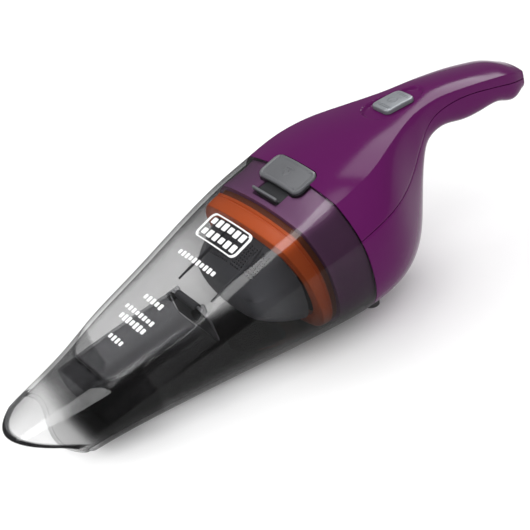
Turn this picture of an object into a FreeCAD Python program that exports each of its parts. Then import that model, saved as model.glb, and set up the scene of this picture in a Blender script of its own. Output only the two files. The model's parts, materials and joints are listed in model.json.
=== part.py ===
import FreeCAD, Part

import math
import os

# Handheld cordless vacuum cleaner, millimetres.
#
# The pieces are drawn in the dust bowl's own frame: X runs along the bowl from the nozzle (-X) to the
# handle (+X), Y is across, Z is up. At the end everything is pitched nose down on to the nozzle's lower
# lip and the two rubber feet, and moved so that the origin is under the middle of the whole object.

V = FreeCAD.Vector

# ---------------------------------------------------------------- driving dimensions
PITCH = 11.0                 # nose-down angle of the bowl axis when the cleaner stands, degrees
JOINT_X = 25.0               # where the bowl's rear edge meets the body
NOZZLE_X = -200.0            # foremost point of the nozzle's upper lip
BOWL_WALL = 2.2
BODY_WALL = 2.4
COLLAR_GAP = 0.4             # all-round gap between the bowl and the collar that it slides over
JOINT_GAP = 0.3              # between the bowl's rear edge and the casing

AXIS_Z = 60.0                # height of the motor and fan axis
SHAFT_R = 1.15
BUSH_BORE_R = 1.19
CAN_R = 17.5
CAN_WALL = 1.3
CAN_X0 = 37.0
CAN_X1 = 77.0
FAN_R = 27.0
SHROUD_R = 31.5
SHROUD_WALL = 1.8
SHROUD_X0 = 13.0
SHROUD_X1 = 36.0

CELL_R = 9.2                 # one 18650 lithium cell
CELL_LENGTH = 65.0
CELL_FRONT = (119.0, 90.8)   # x, z of the cell's front end on its axis
CELL_REAR = (181.5, 73.8)

BUTTON_X0 = 14.2
BUTTON_X1 = 33.4
BUTTON_HALF = 20.4
BUTTON_CORNER = 5.0
TONGUE_X0 = 6.0
TONGUE_HALF = 11.8
SWITCH_X = 106.0
SWITCH_LENGTH = 23.0
SWITCH_HALF = 8.2
SWITCH_TRAVEL = 6.0
SWITCH_SLOPE = 8.0           # fall of the top panel towards the handle, degrees

SOCKET_Z = 50.0
SOCKET_X = 101.0
SOCKET_R = 5.0
SOCKET_BORE_R = 2.75
SOCKET_DEPTH = 9.5

DUCT_END_X = -68.0
FLAP_PIN = (-66.7, 73.0)     # x, z of the flap's hinge pin
FLAP_PIN_R = 1.0
FLAP_BORE_R = 1.06
FOOT_X = 36.0
FOOT_HALF = 24.0
FOOT_R = 6.0

# Hull stations, nozzle to handle. Each is a flat cut through the outer surface:
# top centre (x, z), bottom centre (x, z), crease half-width and height, widest half-width and height.
HULL = [
    ((-206, 70.5), (-206, 45.0), 22.5, 64.5, 31.0, 57.0),
    ((-170, 73.6), (-170, 43.0), 27.5, 68.8, 35.5, 59.5),
    ((-140, 76.6), (-140, 39.5), 30.0, 73.6, 40.0, 62.0),
    ((-120, 80.0), (-120, 36.0), 32.3, 78.6, 43.5, 64.0),
    ((-80, 87.2), (-80, 28.5), 37.8, 84.7, 50.0, 66.0),
    ((-40, 95.6), (-40, 20.3), 41.6, 92.4, 56.0, 67.0),
    ((0, 104.0), (0, 12.2), 44.2, 99.2, 60.6, 67.5),
    ((25, 108.1), (25, 9.0), 44.6, 101.9, 62.5, 67.5),
    ((42, 109.9), (45, 9.2), 44.4, 103.6, 61.3, 67.0),
    ((58, 110.3), (64, 11.0), 41.4, 104.8, 54.0, 66.5),
    ((72, 109.8), (80, 17.5), 36.0, 105.4, 43.5, 68.0),
    ((84, 108.4), (91, 30.0), 30.4, 105.1, 35.0, 75.0),
    ((95, 107.0), (99, 45.0), 25.4, 104.5, 29.0, 82.0),
    ((106, 105.6), (106, 60.0), 21.0, 103.6, 24.6, 87.0),
    ((118, 103.8), (115, 72.0), 17.9, 102.0, 20.4, 88.0),
    ((132, 101.8), (131, 74.0), 16.3, 99.6, 17.9, 87.0),
    ((148, 97.8), (147, 68.0), 16.4, 95.3, 17.4, 82.0),
    ((165, 92.3), (165, 64.8), 16.5, 89.9, 17.2, 78.0),
    ((180, 86.8), (179, 62.0), 16.1, 84.4, 16.8, 74.0),
    ((193, 81.0), (191, 56.0), 14.6, 78.8, 15.4, 68.5),
    ((201, 75.5), (199, 58.0), 11.5, 74.0, 12.4, 67.0),
]
JOINT_INDEX = 7              # the station at JOINT_X

SEAM = [(18, 79.5), (45, 81.5), (62, 79.5), (78, 77.0), (92, 78.5), (106, 85.0),
        (120, 90.5), (135, 91.0), (150, 88.6), (170, 81.5), (190, 73.0), (210, 64.0)]


# ---------------------------------------------------------------- small helpers
def box(x0, x1, y0, y1, z0, z1):
    return Part.makeBox(x1 - x0, y1 - y0, z1 - z0, V(x0, y0, z0))


def rod(x0, x1, radius, y=0.0, z=AXIS_Z):
    """Cylinder along X."""
    return Part.makeCylinder(radius, x1 - x0, V(x0, y, z), V(1, 0, 0))


def tube(x0, x1, outer, inner, y=0.0, z=AXIS_Z):
    """Hollow cylinder along X, with its bore cut clean through."""
    return rod(x0, x1, outer, y, z).cut(rod(x0 - 1, x1 + 1, inner, y, z))


def post(x, y, z0, z1, radius):
    """Cylinder along Z."""
    return Part.makeCylinder(radius, z1 - z0, V(x, y, z0))


def cross_rod(x, z, y0, y1, radius):
    """Cylinder along Y."""
    return Part.makeCylinder(radius, y1 - y0, V(x, y0, z), V(0, 1, 0))


def tilted(shape, degrees, centre):
    """The shape turned about the Y direction through centre."""
    turned = shape.copy()
    turned.rotate(centre, V(0, 1, 0), degrees)
    return turned


def rounded_box(x0, x1, y0, y1, z0, z1, radius):
    """Box with its four upright edges rounded."""
    block = box(x0, x1, y0, y1, z0, z1)
    upright = [e for e in block.Edges if abs(e.tangentAt(e.FirstParameter).z) > 0.99]
    return block.makeFillet(radius, upright)


def bezier(points):
    curve = Part.BezierCurve()
    curve.setPoles(points)
    return curve.toShape()


# ---------------------------------------------------------------- the hull
def mix(a, b, t):
    return a + (b - a) * t


def hull_at(x):
    """Station at a place on the bowl axis, in line between the two listed ones beside it."""
    for low, high in zip(HULL, HULL[1:]):
        if low[0][0] <= x <= high[0][0]:
            t = (x - low[0][0]) / (high[0][0] - low[0][0])
            ends = [tuple(mix(a, b, t) for a, b in zip(low[k], high[k])) for k in (0, 1)]
            return tuple(ends) + tuple(mix(a, b, t) for a, b in zip(low[2:], high[2:]))
    raise ValueError("no hull at x = %g" % x)


def shrunk(station, inset, steep=0.0, climb=0.0):
    """Station moved inwards by inset: steep and climb are the slopes of its sides and its bottom."""
    (top_x, top_z), (low_x, low_z), crease, crease_z, wide, wide_z = station
    side = inset * math.hypot(1.0, steep)
    floor = inset * min(math.hypot(1.0, climb), 2.2)
    return ((top_x, top_z - inset), (low_x, low_z + floor),
            crease - 0.75 * side, crease_z - inset, wide - side, wide_z)


def outline(station):
    """Closed wire of a station: arched top, two shoulders and two round lower quarters."""
    (top_x, top_z), (low_x, low_z), crease, crease_z, wide, wide_z = station
    lean = (top_x - low_x) / (top_z - low_z)

    def at(y, z):
        return V(low_x + (z - low_z) * lean, y, z)

    arch = crease_z + 4.0 / 3.0 * (top_z - crease_z)
    reach = 0.6 * (wide - crease)
    brow = crease_z - 0.84 * reach
    drop = 0.42 * (crease_z - wide_z)
    full = 0.69
    sweep = [[(-crease, crease_z), (-crease / 3, arch), (crease / 3, arch), (crease, crease_z)]]
    right = [(crease, crease_z), (crease + reach, brow), (wide, wide_z + drop), (wide, wide_z)]
    under = [(wide, wide_z), (wide, mix(wide_z, low_z, full)), (full * wide, low_z), (0.0, low_z)]
    sweep += [right, under]
    sweep += [[(-y, z) for y, z in reversed(curve)] for curve in (under, right)]
    return Part.Wire([bezier([at(y, z) for y, z in curve]) for curve in sweep])


def slope(first, last, pick):
    run = last[1][0] - first[1][0] or last[0][0] - first[0][0]
    return (pick(last) - pick(first)) / run


def hull_solid(first, last, inset=0.0):
    """Solid through the listed stations first..last, moved inwards by inset."""
    wires = []
    for index in range(first, last + 1):
        before = HULL[max(index - 1, 0)]
        after = HULL[min(index + 1, len(HULL) - 1)]
        steep = slope(before, after, lambda s: s[4])
        climb = slope(before, after, lambda s: s[1][1])
        wires.append(outline(shrunk(HULL[index], inset, steep, climb)))
    return Part.makeLoft(wires, True, False)


def straight_solid(x0, inset0, x1, inset1):
    """Solid with straight sides between two places on the bowl axis."""
    return Part.makeLoft([outline(shrunk(hull_at(x0), inset0)), outline(shrunk(hull_at(x1), inset1))],
                         True, True)


# ---------------------------------------------------------------- dust bowl
def mouth_cutter():
    """What is cut away in front of the lips: a rounded front edge carried down the slanting mouth."""
    reach = 45.0
    lip = Part.Arc(V(NOZZLE_X + 16, -33, 110), V(NOZZLE_X, 0, 110), V(NOZZLE_X + 16, 33, 110)).toShape()
    ends = [v.Point for v in lip.Vertexes]
    wide = 70.0
    corners = [ends[1], V(NOZZLE_X + 60, wide, 110), V(NOZZLE_X - 60, wide, 110),
               V(NOZZLE_X - 60, -wide, 110), V(NOZZLE_X + 60, -wide, 110), ends[0]]
    face = Part.Face(Part.Wire([lip] + Part.makePolygon(corners).Edges))
    run = 23.0 / 25.0
    rise = 110 - 71.0
    face.translate(V(-run * rise, 0, 0))
    return face.extrude(V(run * (rise + reach), 0, -(rise + reach)))


def button_outline(margin, low, high):
    """Upright block of the release button's outline, larger all round by margin."""
    half = BUTTON_HALF + margin
    return rounded_box(BUTTON_X0 - margin, BUTTON_X1 + margin, -half, half, low, high, BUTTON_CORNER + margin)


def button_well():
    """The upright pocket that the release button moves in."""
    return button_outline(0.6, 94.5, 130)


def bowl():
    """Clear shell open at the mouth and at the back, with a notch for the release button and a bar ahead of it."""
    skin = hull_solid(0, JOINT_INDEX).cut(hull_solid(0, JOINT_INDEX, BOWL_WALL))
    skin = skin.cut(mouth_cutter()).cut(box(JOINT_X - JOINT_GAP, JOINT_X + 5, -90, 90, 0, 130))
    bar = box(TONGUE_X0 - 1.6, TONGUE_X0, -12.3, 12.3, 103.2, 106.0)
    return skin.fuse(bar).cut(button_well())


def duct_outline(x, half, low, high, inset=0.0):
    """Tunnel section: flat floor with small corners and an arched roof."""
    half = half - inset
    low = low + inset
    high = high - inset
    spring = mix(low, high, 0.45)
    corners = [V(x, -half, spring), V(x, -half, low), V(x, half, low), V(x, half, spring)]
    roof = bezier([corners[3], V(x, half, high), V(x, -half, high), corners[0]])
    return Part.Wire(Part.makePolygon(corners).Edges + [roof])


DUCT = [(-150.0, 28.0, 50.0, 76.5), (-120.0, 27.0, 50.0, 78.0), (DUCT_END_X, 25.0, 50.0, 77.0)]
DUCT_WALL = 1.6


def inner_duct():
    """Air tunnel from the nozzle to the middle of the bowl, with a flange and two flap lugs."""
    outer = Part.makeLoft([duct_outline(*row) for row in DUCT], True, False)
    inner = Part.makeLoft([duct_outline(*row, DUCT_WALL) for row in DUCT], True, False)
    flange = hull_solid(0, JOINT_INDEX, BOWL_WALL + 0.3).common(box(-150.5, -148.5, -90, 90, 0, 130))
    body = outer.fuse(flange)
    for side in (-1, 1):
        lug = box(DUCT_END_X - 7, FLAP_PIN[0] + 2.2, side * 14 - 1.5, side * 14 + 1.5,
                  FLAP_PIN[1] - 4.0, FLAP_PIN[1] + 2.2)
        body = body.fuse(lug)
    mouth = DUCT[0][1:]
    reach = Part.makeLoft([duct_outline(-151.5, *mouth, DUCT_WALL), duct_outline(-149.0, *mouth, DUCT_WALL)],
                          True, True)
    body = body.cut(inner).cut(reach)
    pin_hole = cross_rod(FLAP_PIN[0], FLAP_PIN[1], -20, 20, FLAP_PIN_R)
    knuckle_room = box(DUCT_END_X - 3, DUCT_END_X + 8, -11.8, 11.8, FLAP_PIN[1] - 3.4, 90)
    return body.cut(knuckle_room).cut(pin_hole)


def flap_pin():
    return cross_rod(FLAP_PIN[0], FLAP_PIN[1], -15.5, 15.5, FLAP_PIN_R)


def duct_flap():
    """Plate that hangs over the duct's rear end from a knuckle on the pin."""
    plate_x0 = DUCT_END_X + 0.4
    knuckle = cross_rod(FLAP_PIN[0], FLAP_PIN[1], -11.2, 11.2, 2.4)
    plate = box(plate_x0, plate_x0 + 1.5, -22.5, 22.5, 52.0, FLAP_PIN[1] - 4.6)
    neck = box(plate_x0, plate_x0 + 1.5, -11.2, 11.2, FLAP_PIN[1] - 5.0, FLAP_PIN[1])
    return knuckle.fuse(plate).fuse(neck).cut(cross_rod(FLAP_PIN[0], FLAP_PIN[1], -12, 12, FLAP_BORE_R))


# ---------------------------------------------------------------- filter set
RING_X0 = -16.0
RING_X1 = -4.4
RING_INSET = 4.0
SEAL_X1 = -0.4
CUP_FRONT = -42.0


def filter_ring():
    """Coloured frame that carries the cup and the pleated filter."""
    outer = straight_solid(RING_X0, RING_INSET, RING_X1, RING_INSET)
    return outer.cut(straight_solid(RING_X0 - 1, 15.0, RING_X1 + 1, 12.0))


def filter_seal():
    """Soft lip behind the ring that presses on the bulkhead."""
    outer = straight_solid(RING_X1, RING_INSET + 1.0, SEAL_X1, RING_INSET + 0.8)
    return outer.cut(straight_solid(RING_X1 - 1, 12.5, SEAL_X1 + 1, 12.5))


def cup_shape(inset):
    rows = [(RING_X0, 12.0), (-25.0, 15.0), (-36.0, 21.0), (CUP_FRONT + inset, 29.0)]
    wires = [outline(shrunk(hull_at(x), depth + inset)) for x, depth in rows]
    return Part.makeLoft(wires, True, True)


def prefilter_cup():
    """Dark coarse filter: a closed cup with a field of holes in its roof and front, and two long prongs."""
    cup = cup_shape(0.0).cut(cup_shape(1.6))
    for side in (-1, 1):
        profile = [(-60.0, 75.6), (-60.0, 76.8), (-16.4, 86.6), (-16.4, 80.0), (-44.0, 75.6), (-60.0, 75.6)]
        prong = Part.Face(Part.makePolygon([V(x, side * 18 - 0.6, z) for x, z in profile])).extrude(V(0, 1.2, 0))
        cup = cup.fuse(prong)
    holes = [post(-33.0 + 3.4 * row, -10.5 + 3.5 * column, 60, 110, 0.9)
             for row in range(5) for column in range(7)]
    holes += [rod(CUP_FRONT - 2, CUP_FRONT + 6, 1.2, -12 + 4.0 * column, 44 + 4.0 * row)
              for row in range(6) for column in range(7)]
    opening = straight_solid(RING_X0 - 0.9, 13.8, RING_X0 + 0.9, 13.8)
    return cup.cut(Part.makeCompound(holes)).cut(opening)


PLEATS = 18


def pleated_filter():
    """Folded fabric sleeve, its zigzag running round the airway."""
    def star(x, outer, inner):
        corners = []
        for step in range(2 * PLEATS):
            angle = math.pi * step / PLEATS
            radius = outer if step % 2 == 0 else inner
            corners.append(V(x, radius * math.cos(angle), AXIS_Z + radius * math.sin(angle)))
        return Part.makePolygon(corners + corners[:1])

    sleeve = Part.makeLoft([star(-30, 19, 15), star(-5, 27, 22)], True, True)
    bore = Part.makeCone(12.5, 19.0, 25.0, V(-28, 0, AXIS_Z), V(1, 0, 0))
    return sleeve.cut(bore)


def filter_rim():
    """Stiff rim glued round the open end of the pleated sleeve."""
    plate = straight_solid(-4.9, 12.6, -3.7, 12.6)
    return plate.cut(rod(-10, 0, 20.0))


# ---------------------------------------------------------------- body casing
def seam_region():
    """Everything above the parting line of the two casing halves."""
    curve = Part.BSplineCurve()
    curve.interpolate([V(x, -90, z) for x, z in SEAM])
    first = V(SEAM[0][0], -90, SEAM[0][1])
    last = V(SEAM[-1][0], -90, SEAM[-1][1])
    sides = Part.makePolygon([last, V(last.x, -90, 140), V(first.x, -90, 140), first])
    return Part.Face(Part.Wire([curve.toShape()] + sides.Edges)).extrude(V(0, 180, 0))


def casing():
    """The whole body wall before it is split, open at the front."""
    outer = hull_solid(JOINT_INDEX, len(HULL) - 1)
    cavity = hull_solid(JOINT_INDEX - 1, len(HULL) - 2, BODY_WALL)
    return outer, outer.cut(cavity)


def switch_block(length, half, low, high):
    """Block centred on the power switch and lying along the sloping top panel."""
    reach = length / 2
    corner = 0.9 * min(half, 6)
    block = rounded_box(SWITCH_X - reach, SWITCH_X + reach, -half, half, low, high, corner)
    return tilted(block, SWITCH_SLOPE, V(SWITCH_X, 0, 105.0))


# x, y of each casing screw, height of its head's seat and of the meeting faces of its two bosses
SHELL_SCREWS = [(60.0, 30.0, 64.0, 76.0), (60.0, -30.0, 64.0, 76.0), (195.0, 0.0, 61.0, 69.5)]
SCREW_R = 1.5
BOSS_R = 4.4
SCREW_LENGTH = 15.0


def top_shell(outer, wall, region):
    """Upper casing half with the switch tray and the button notch."""
    tray = switch_block(52, 13.5, 99.6, 106.5).common(outer)
    shell = wall.common(region).fuse(tray.common(region))
    shell = shell.cut(switch_block(SWITCH_LENGTH + 2 * SWITCH_TRAVEL + 3, SWITCH_HALF + 0.7, 103.4, 120))
    shell = shell.cut(switch_block(12 + SWITCH_TRAVEL, 3.4, 90, 110))
    lower_wall = wall.cut(region)
    for x, y, seat, meet in SHELL_SCREWS:
        boss = post(x, y, meet + 0.2, 110, BOSS_R).common(outer).cut(lower_wall)
        shell = shell.fuse(boss).cut(post(x, y, meet - 10, seat + SCREW_LENGTH + 0.5, SCREW_R - 0.1))
    return shell.cut(button_well()).cut(along_cell(-3.0, 14.0, CELL_R + 0.3))


def vent_slots():
    """Exhaust slots through the floor of the casing."""
    slots = []
    for side in (-1, 1):
        for step in range(5):
            x = 44.0 + 5.5 * step
            slots.append(rounded_box(x, x + 2.6, side * 14 - 8, side * 14 + 8, -5, 24, 1.2))
    return Part.makeCompound(slots)


def lower_shell(outer, wall, region):
    """Lower casing half with screw bosses, motor saddle, exhaust slots and the socket hole."""
    below = outer.cut(region)
    shell = wall.cut(region)
    for x, y, seat, meet in SHELL_SCREWS:
        shell = shell.fuse(post(x, y, 0, meet, BOSS_R).common(below))
        shell = shell.cut(post(x, y, 0, meet + 5, SCREW_R)).cut(post(x, y, 0, seat, 2.9))
    for x in (41.5, 68.0):
        saddle = box(x, x + 3, -16, 16, 10, AXIS_Z - 8).common(below)
        shell = shell.fuse(saddle.cut(rod(x - 1, x + 4, 20.3)))
    shell = shell.cut(vent_slots())
    shell = shell.cut(rod(SOCKET_X - 20, SOCKET_X + 20, SOCKET_R + 0.15, 0, SOCKET_Z))
    return shell


BULKHEAD_X1 = 36.0
BULKHEAD_SCREWS = [(-28.0, 42.0), (28.0, 42.0), (-28.0, 78.0), (28.0, 78.0)]


def bulkhead():
    """Collar that the bowl slides over, its front wall with the air inlet, and the button's tray."""
    in_bowl = box(0, JOINT_X, -90, 90, 0, 130)
    in_casing = box(JOINT_X, BULKHEAD_X1, -90, 90, 0, 130)
    depth = BOWL_WALL + COLLAR_GAP
    solids = []
    for inset in (depth, depth + 2.2):
        front = hull_solid(0, JOINT_INDEX, inset).common(in_bowl)
        back = hull_solid(JOINT_INDEX - 1, len(HULL) - 2, inset).common(in_casing)
        solids.append(front.fuse(back))
    outer, inner = solids
    collar = outer.cut(inner.common(box(3, 60, -90, 90, 0, 130)))
    collar = collar.fuse(box(1, BULKHEAD_X1, -23, 23, 92.3, 120).common(outer))
    collar = collar.cut(button_well()).cut(box(3.0, BUTTON_X0, -12.6, 12.6, 94.5, 130))
    for y, z in BULKHEAD_SCREWS:
        collar = collar.cut(rod(-1, 4, SCREW_R, y, z))
    return collar.cut(rod(-1, 4, 22.0))


def intake_grille():
    """Spoked guard in the bulkhead's air inlet."""
    grille = tube(0.2, 2.8, 22.0, 20.2)
    for radius in (8.0, 14.0):
        grille = grille.fuse(tube(0.6, 2.2, radius + 0.6, radius - 0.6))
    for turn in range(3):
        spoke = box(0.6, 2.2, -20.6, 20.6, AXIS_Z - 0.7, AXIS_Z + 0.7)
        spoke.rotate(V(0, 0, AXIS_Z), V(1, 0, 0), 60 * turn)
        grille = grille.fuse(spoke)
    return grille


def fan_shroud():
    """Drum round the fan with an inlet lip, fixing ears and a spoked back that carries the motor."""
    drum = tube(SHROUD_X0, SHROUD_X1, SHROUD_R, SHROUD_R - SHROUD_WALL)
    front = tube(SHROUD_X0, SHROUD_X0 + 1.8, SHROUD_R - 1, 15.0)
    inlet = tube(3.2, SHROUD_X0 + 1, 23.5, 22.2).fuse(tube(SHROUD_X0 - 1, SHROUD_X0 + 1, 23.5, 15.0))
    back = rod(SHROUD_X1 - 2, SHROUD_X1, SHROUD_R - 1)
    vents = [rod(SHROUD_X1 - 3, SHROUD_X1 + 1, 4.4, 26 * math.cos(a), AXIS_Z + 26 * math.sin(a))
             for a in [math.pi * step / 6 for step in range(12)]]
    back = back.cut(Part.makeCompound(vents)).cut(rod(SHROUD_X1 - 4, SHROUD_X1 + 1, 6.0))
    shroud = drum.fuse(front).fuse(inlet).fuse(back)
    for y, z in BULKHEAD_SCREWS:
        ear = rod(3.2, SHROUD_X0 + 4, 3.8, y, z).cut(rod(SHROUD_X0, SHROUD_X1, SHROUD_R - 2))
        shroud = shroud.fuse(ear)
    for y, z in BULKHEAD_SCREWS:
        shroud = shroud.cut(rod(-1, SHROUD_X0 - 1, SCREW_R, y, z))
    return shroud


# ---------------------------------------------------------------- motor and fan
def impeller():
    """Back plate, hub and curved blades."""
    wheel = rod(30.5, 32.0, FAN_R).fuse(rod(22.0, 32.0, 4.5))
    for blade in range(9):
        arc = Part.Arc(V(19, 4.0, AXIS_Z), V(19, 17.0, AXIS_Z + 5.0), V(19, FAN_R - 0.8, AXIS_Z + 1.0))
        rib = Part.Face(Part.Wire(arc.toShape()).makeOffset2D(0.55, openResult=False)).extrude(V(12, 0, 0))
        rib.rotate(V(0, 0, AXIS_Z), V(1, 0, 0), 40 * blade)
        wheel = wheel.fuse(rib)
    return wheel.cut(rod(15, 40, SHAFT_R))


def motor_shaft():
    return rod(21.0, 83.0, SHAFT_R)


def armature_core():
    """Slotted iron core with its windings."""
    core = rod(46, 66, 11.6)
    for pole in range(3):
        slot = box(45, 67, -1.4, 1.4, AXIS_Z + 5.0, AXIS_Z + 12.5)
        slot.rotate(V(0, 0, AXIS_Z), V(1, 0, 0), 120 * pole)
        core = core.cut(slot)
    return core.fuse(tube(43, 46, 9.6, 3.0)).fuse(tube(66, 69, 9.6, 3.0)).cut(rod(40, 80, SHAFT_R))


def commutator():
    return tube(70.5, 75.5, 3.6, SHAFT_R)


def motor_can():
    """Steel cup, closed at the front round the front bush."""
    can = tube(CAN_X0, CAN_X1, CAN_R, CAN_R - CAN_WALL)
    can = can.fuse(rod(CAN_X0, CAN_X0 + CAN_WALL, CAN_R)).fuse(rod(CAN_X0 - 2.6, CAN_X0 + 2, 5.6))
    return can.cut(rod(CAN_X0 - 4, CAN_X0 + 4, 4.0))


def field_magnets():
    """Two magnet shells inside the can."""
    ring = tube(44, 70, CAN_R - CAN_WALL, 12.4)
    gap = box(43, 71, -20, 20, AXIS_Z - 3.5, AXIS_Z + 3.5)
    return ring.cut(gap)


def motor_end_cap():
    """Moulded rear cover with the rear bush seat and two terminals' slots."""
    cap = rod(CAN_X1, CAN_X1 + 2.5, CAN_R).fuse(rod(CAN_X1, CAN_X1 + 4.5, 6.4))
    cap = cap.cut(rod(CAN_X1 - 1, CAN_X1 + 6, 4.0))
    for side in (-1, 1):
        cap = cap.cut(box(CAN_X1 - 1, CAN_X1 + 3, side * 11 - 1.6, side * 11 + 1.6, AXIS_Z - 1, AXIS_Z + 1))
    return cap


def motor_terminals():
    """Two brass tags in the end cap."""
    tags = [box(CAN_X1 - 0.8, CAN_X1 + 5, side * 11 - 1.4, side * 11 + 1.4, AXIS_Z - 0.4, AXIS_Z + 0.4)
            for side in (-1, 1)]
    return Part.makeCompound(tags)


def motor_brushes():
    """Two carbon brushes beside the commutator."""
    upper = box(71.2, 74.8, -1.5, 1.5, AXIS_Z + 3.75, AXIS_Z + 9)
    lower = box(71.2, 74.8, -1.5, 1.5, AXIS_Z - 9, AXIS_Z - 3.75)
    return Part.makeCompound([upper, lower])


def bush(x0, x1):
    return tube(x0, x1, 4.0, BUSH_BORE_R)


def motor_ring(x):
    """Rubber ring between the can and its saddle."""
    return tube(x - 0.6, x + 3.6, 20.2, CAN_R)


# ---------------------------------------------------------------- release button and switch
def release_button(outset):
    """Thumb button with the tongue that reaches forward under the bowl's roof."""
    cap = button_outline(0.0, 100.0, 122).common(outset)
    tongue = box(TONGUE_X0, BUTTON_X0 + 3, -TONGUE_HALF, TONGUE_HALF, 100.2, 102.0)
    root = box(BUTTON_X0 + 1, BUTTON_X0 + 5, -TONGUE_HALF, TONGUE_HALF, 98.6, 102)
    hook = box(TONGUE_X0, TONGUE_X0 + 1.6, -TONGUE_HALF, TONGUE_HALF, 98.6, 101.0)
    return cap.fuse(tongue).fuse(root).fuse(hook)


def latch_spring():
    """Folded leaf of spring steel that lifts the button."""
    route = [(18.5, 94.85), (29.0, 94.85), (30.8, 96.2), (30.2, 97.6), (21.4, 99.2)]
    line = Part.makePolygon([V(x, -4, z) for x, z in route])
    return Part.Face(line.makeOffset2D(0.2, openResult=False)).extrude(V(0, 8, 0))


def power_switch():
    """Sliding thumb piece, in its tray on the top panel."""
    half_travel = SWITCH_TRAVEL / 2
    cap = switch_block(SWITCH_LENGTH, SWITCH_HALF, 103.7, 108.6)
    stem = switch_block(9, 2.6, 98.4, 104.2)
    crown = Part.makeCylinder(60, 40, V(SWITCH_X, -20, 108.6 - 60), V(0, 1, 0))
    piece = cap.common(tilted(crown, SWITCH_SLOPE, V(SWITCH_X, 0, 105.0))).fuse(stem)
    return shifted_along_switch(piece, half_travel)


def shifted_along_switch(shape, distance):
    """The shape moved towards the handle along the switch's slope."""
    moved = shape.copy()
    angle = math.radians(SWITCH_SLOPE)
    moved.translate(V(distance * math.cos(angle), 0, -distance * math.sin(angle)))
    return moved


def switch_link():
    """Carrier under the panel: a plate and a finger that reaches the micro switch."""
    plate = switch_block(16, 5.4, 96.4, 98.4)
    finger = switch_block(3.0, 1.6, 95.2, 96.6)
    return shifted_along_switch(plate.fuse(finger), SWITCH_TRAVEL / 2)


# ---------------------------------------------------------------- electrics
BOARD_Z = 86.0


def circuit_board():
    """Control board on the lower casing's bosses."""
    board = box(78, 116, -9, 9, BOARD_Z, BOARD_Z + 1.6)
    for x in (81, 113):
        board = board.cut(post(x, 6.5, BOARD_Z - 1, BOARD_Z + 3, 1.1))
    return board


def board_parts():
    """Regulator, coil and capacitor on the board."""
    coil = post(84, -3, BOARD_Z + 1.6, BOARD_Z + 7, 3.5)
    chip = box(89, 94, -3, 3, BOARD_Z + 1.6, BOARD_Z + 3)
    capacitor = post(84, 5, BOARD_Z + 1.6, BOARD_Z + 9, 2.5)
    return Part.makeCompound([coil, chip, capacitor])


def micro_switch():
    """Snap switch under the link's finger, with its plunger."""
    case = box(99, 109, -3, 3, BOARD_Z + 1.6, BOARD_Z + 7.4)
    return case.fuse(box(101.0, 103.4, -1.2, 1.2, BOARD_Z + 7, BOARD_Z + 8.0))


def charge_lamp():
    """Small lamp on the board."""
    return post(96.2, 5.5, BOARD_Z + 1.6, BOARD_Z + 4.4, 1.5)


def cell_direction():
    return V(CELL_REAR[0] - CELL_FRONT[0], 0, CELL_REAR[1] - CELL_FRONT[1]).normalize()


def along_cell(start, end, radius, inner=0.0):
    """Cylinder on the cell's axis, from start to end measured from its front face."""
    direction = cell_direction()
    origin = V(CELL_FRONT[0], 0, CELL_FRONT[1]) + direction * start
    shape = Part.makeCylinder(radius, end - start, origin, direction)
    if inner:
        shape = shape.cut(Part.makeCylinder(inner, end - start, origin, direction))
    return shape


def battery_cell():
    """One lithium cell with its raised positive cap."""
    return along_cell(0, CELL_LENGTH - 1.2, CELL_R - 0.05).fuse(along_cell(-1.2, 0, 3.0))


def cell_tab(start):
    """Welded nickel strip across one end of the cell."""
    direction = cell_direction()
    strip = box(0, 0.3, -3, 3, -7, 7)
    strip.rotate(V(0, 0, 0), V(0, 1, 0), -math.degrees(math.atan2(direction.z, direction.x)))
    origin = V(CELL_FRONT[0], 0, CELL_FRONT[1]) + direction * start
    strip.translate(origin)
    return strip


def cell_pads():
    """Two foam bands round the cell, cut short on the side where a lead passes."""
    cavity = hull_solid(JOINT_INDEX - 1, len(HULL) - 2, BODY_WALL + 0.05)
    lead_room = box(110, 200, -20, -10.8, 60, 110)
    bands = [along_cell(start, start + 6, CELL_R + 2.5, CELL_R).common(cavity) for start in (12, 46)]
    return Part.makeCompound([band.cut(lead_room) for band in bands])


def charging_socket():
    """Barrel socket in the casing's rear wall; its bore takes the charger's plug."""
    barrel = rod(SOCKET_X - 13, SOCKET_X, SOCKET_R, 0, SOCKET_Z)
    tags = box(SOCKET_X - 16, SOCKET_X - 13, -2.5, 2.5, SOCKET_Z - 0.4, SOCKET_Z + 0.4)
    return barrel.fuse(tags).cut(rod(SOCKET_X - SOCKET_DEPTH, SOCKET_X + 1, SOCKET_BORE_R, 0, SOCKET_Z))


LEAD_R = 0.9


def lead(points):
    """Insulated wire: straight runs joined by tangent arcs as large as the runs allow."""
    points = [V(*p) for p in points]
    edges = []
    start = points[0]
    for before, corner, after in zip(points, points[1:], points[2:]):
        inward = (corner - before).normalize()
        outward = (after - corner).normalize()
        turn = inward.getAngle(outward)
        cut = 0.45 * min(corner.distanceToPoint(before), corner.distanceToPoint(after))
        bend = cut / math.tan(turn / 2)
        enter = corner - inward * cut
        leave = corner + outward * cut
        middle = (outward - inward).normalize()
        hub = corner + middle * (bend / math.cos(turn / 2))
        edges.append(Part.LineSegment(start, enter).toShape())
        edges.append(Part.Arc(enter, hub - middle * bend, leave).toShape())
        start = leave
    edges.append(Part.LineSegment(start, points[-1]).toShape())
    section = Part.Wire(Part.makeCircle(LEAD_R, points[0], points[1] - points[0]))
    return Part.Wire(edges).makePipeShell([section], True, False)


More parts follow.
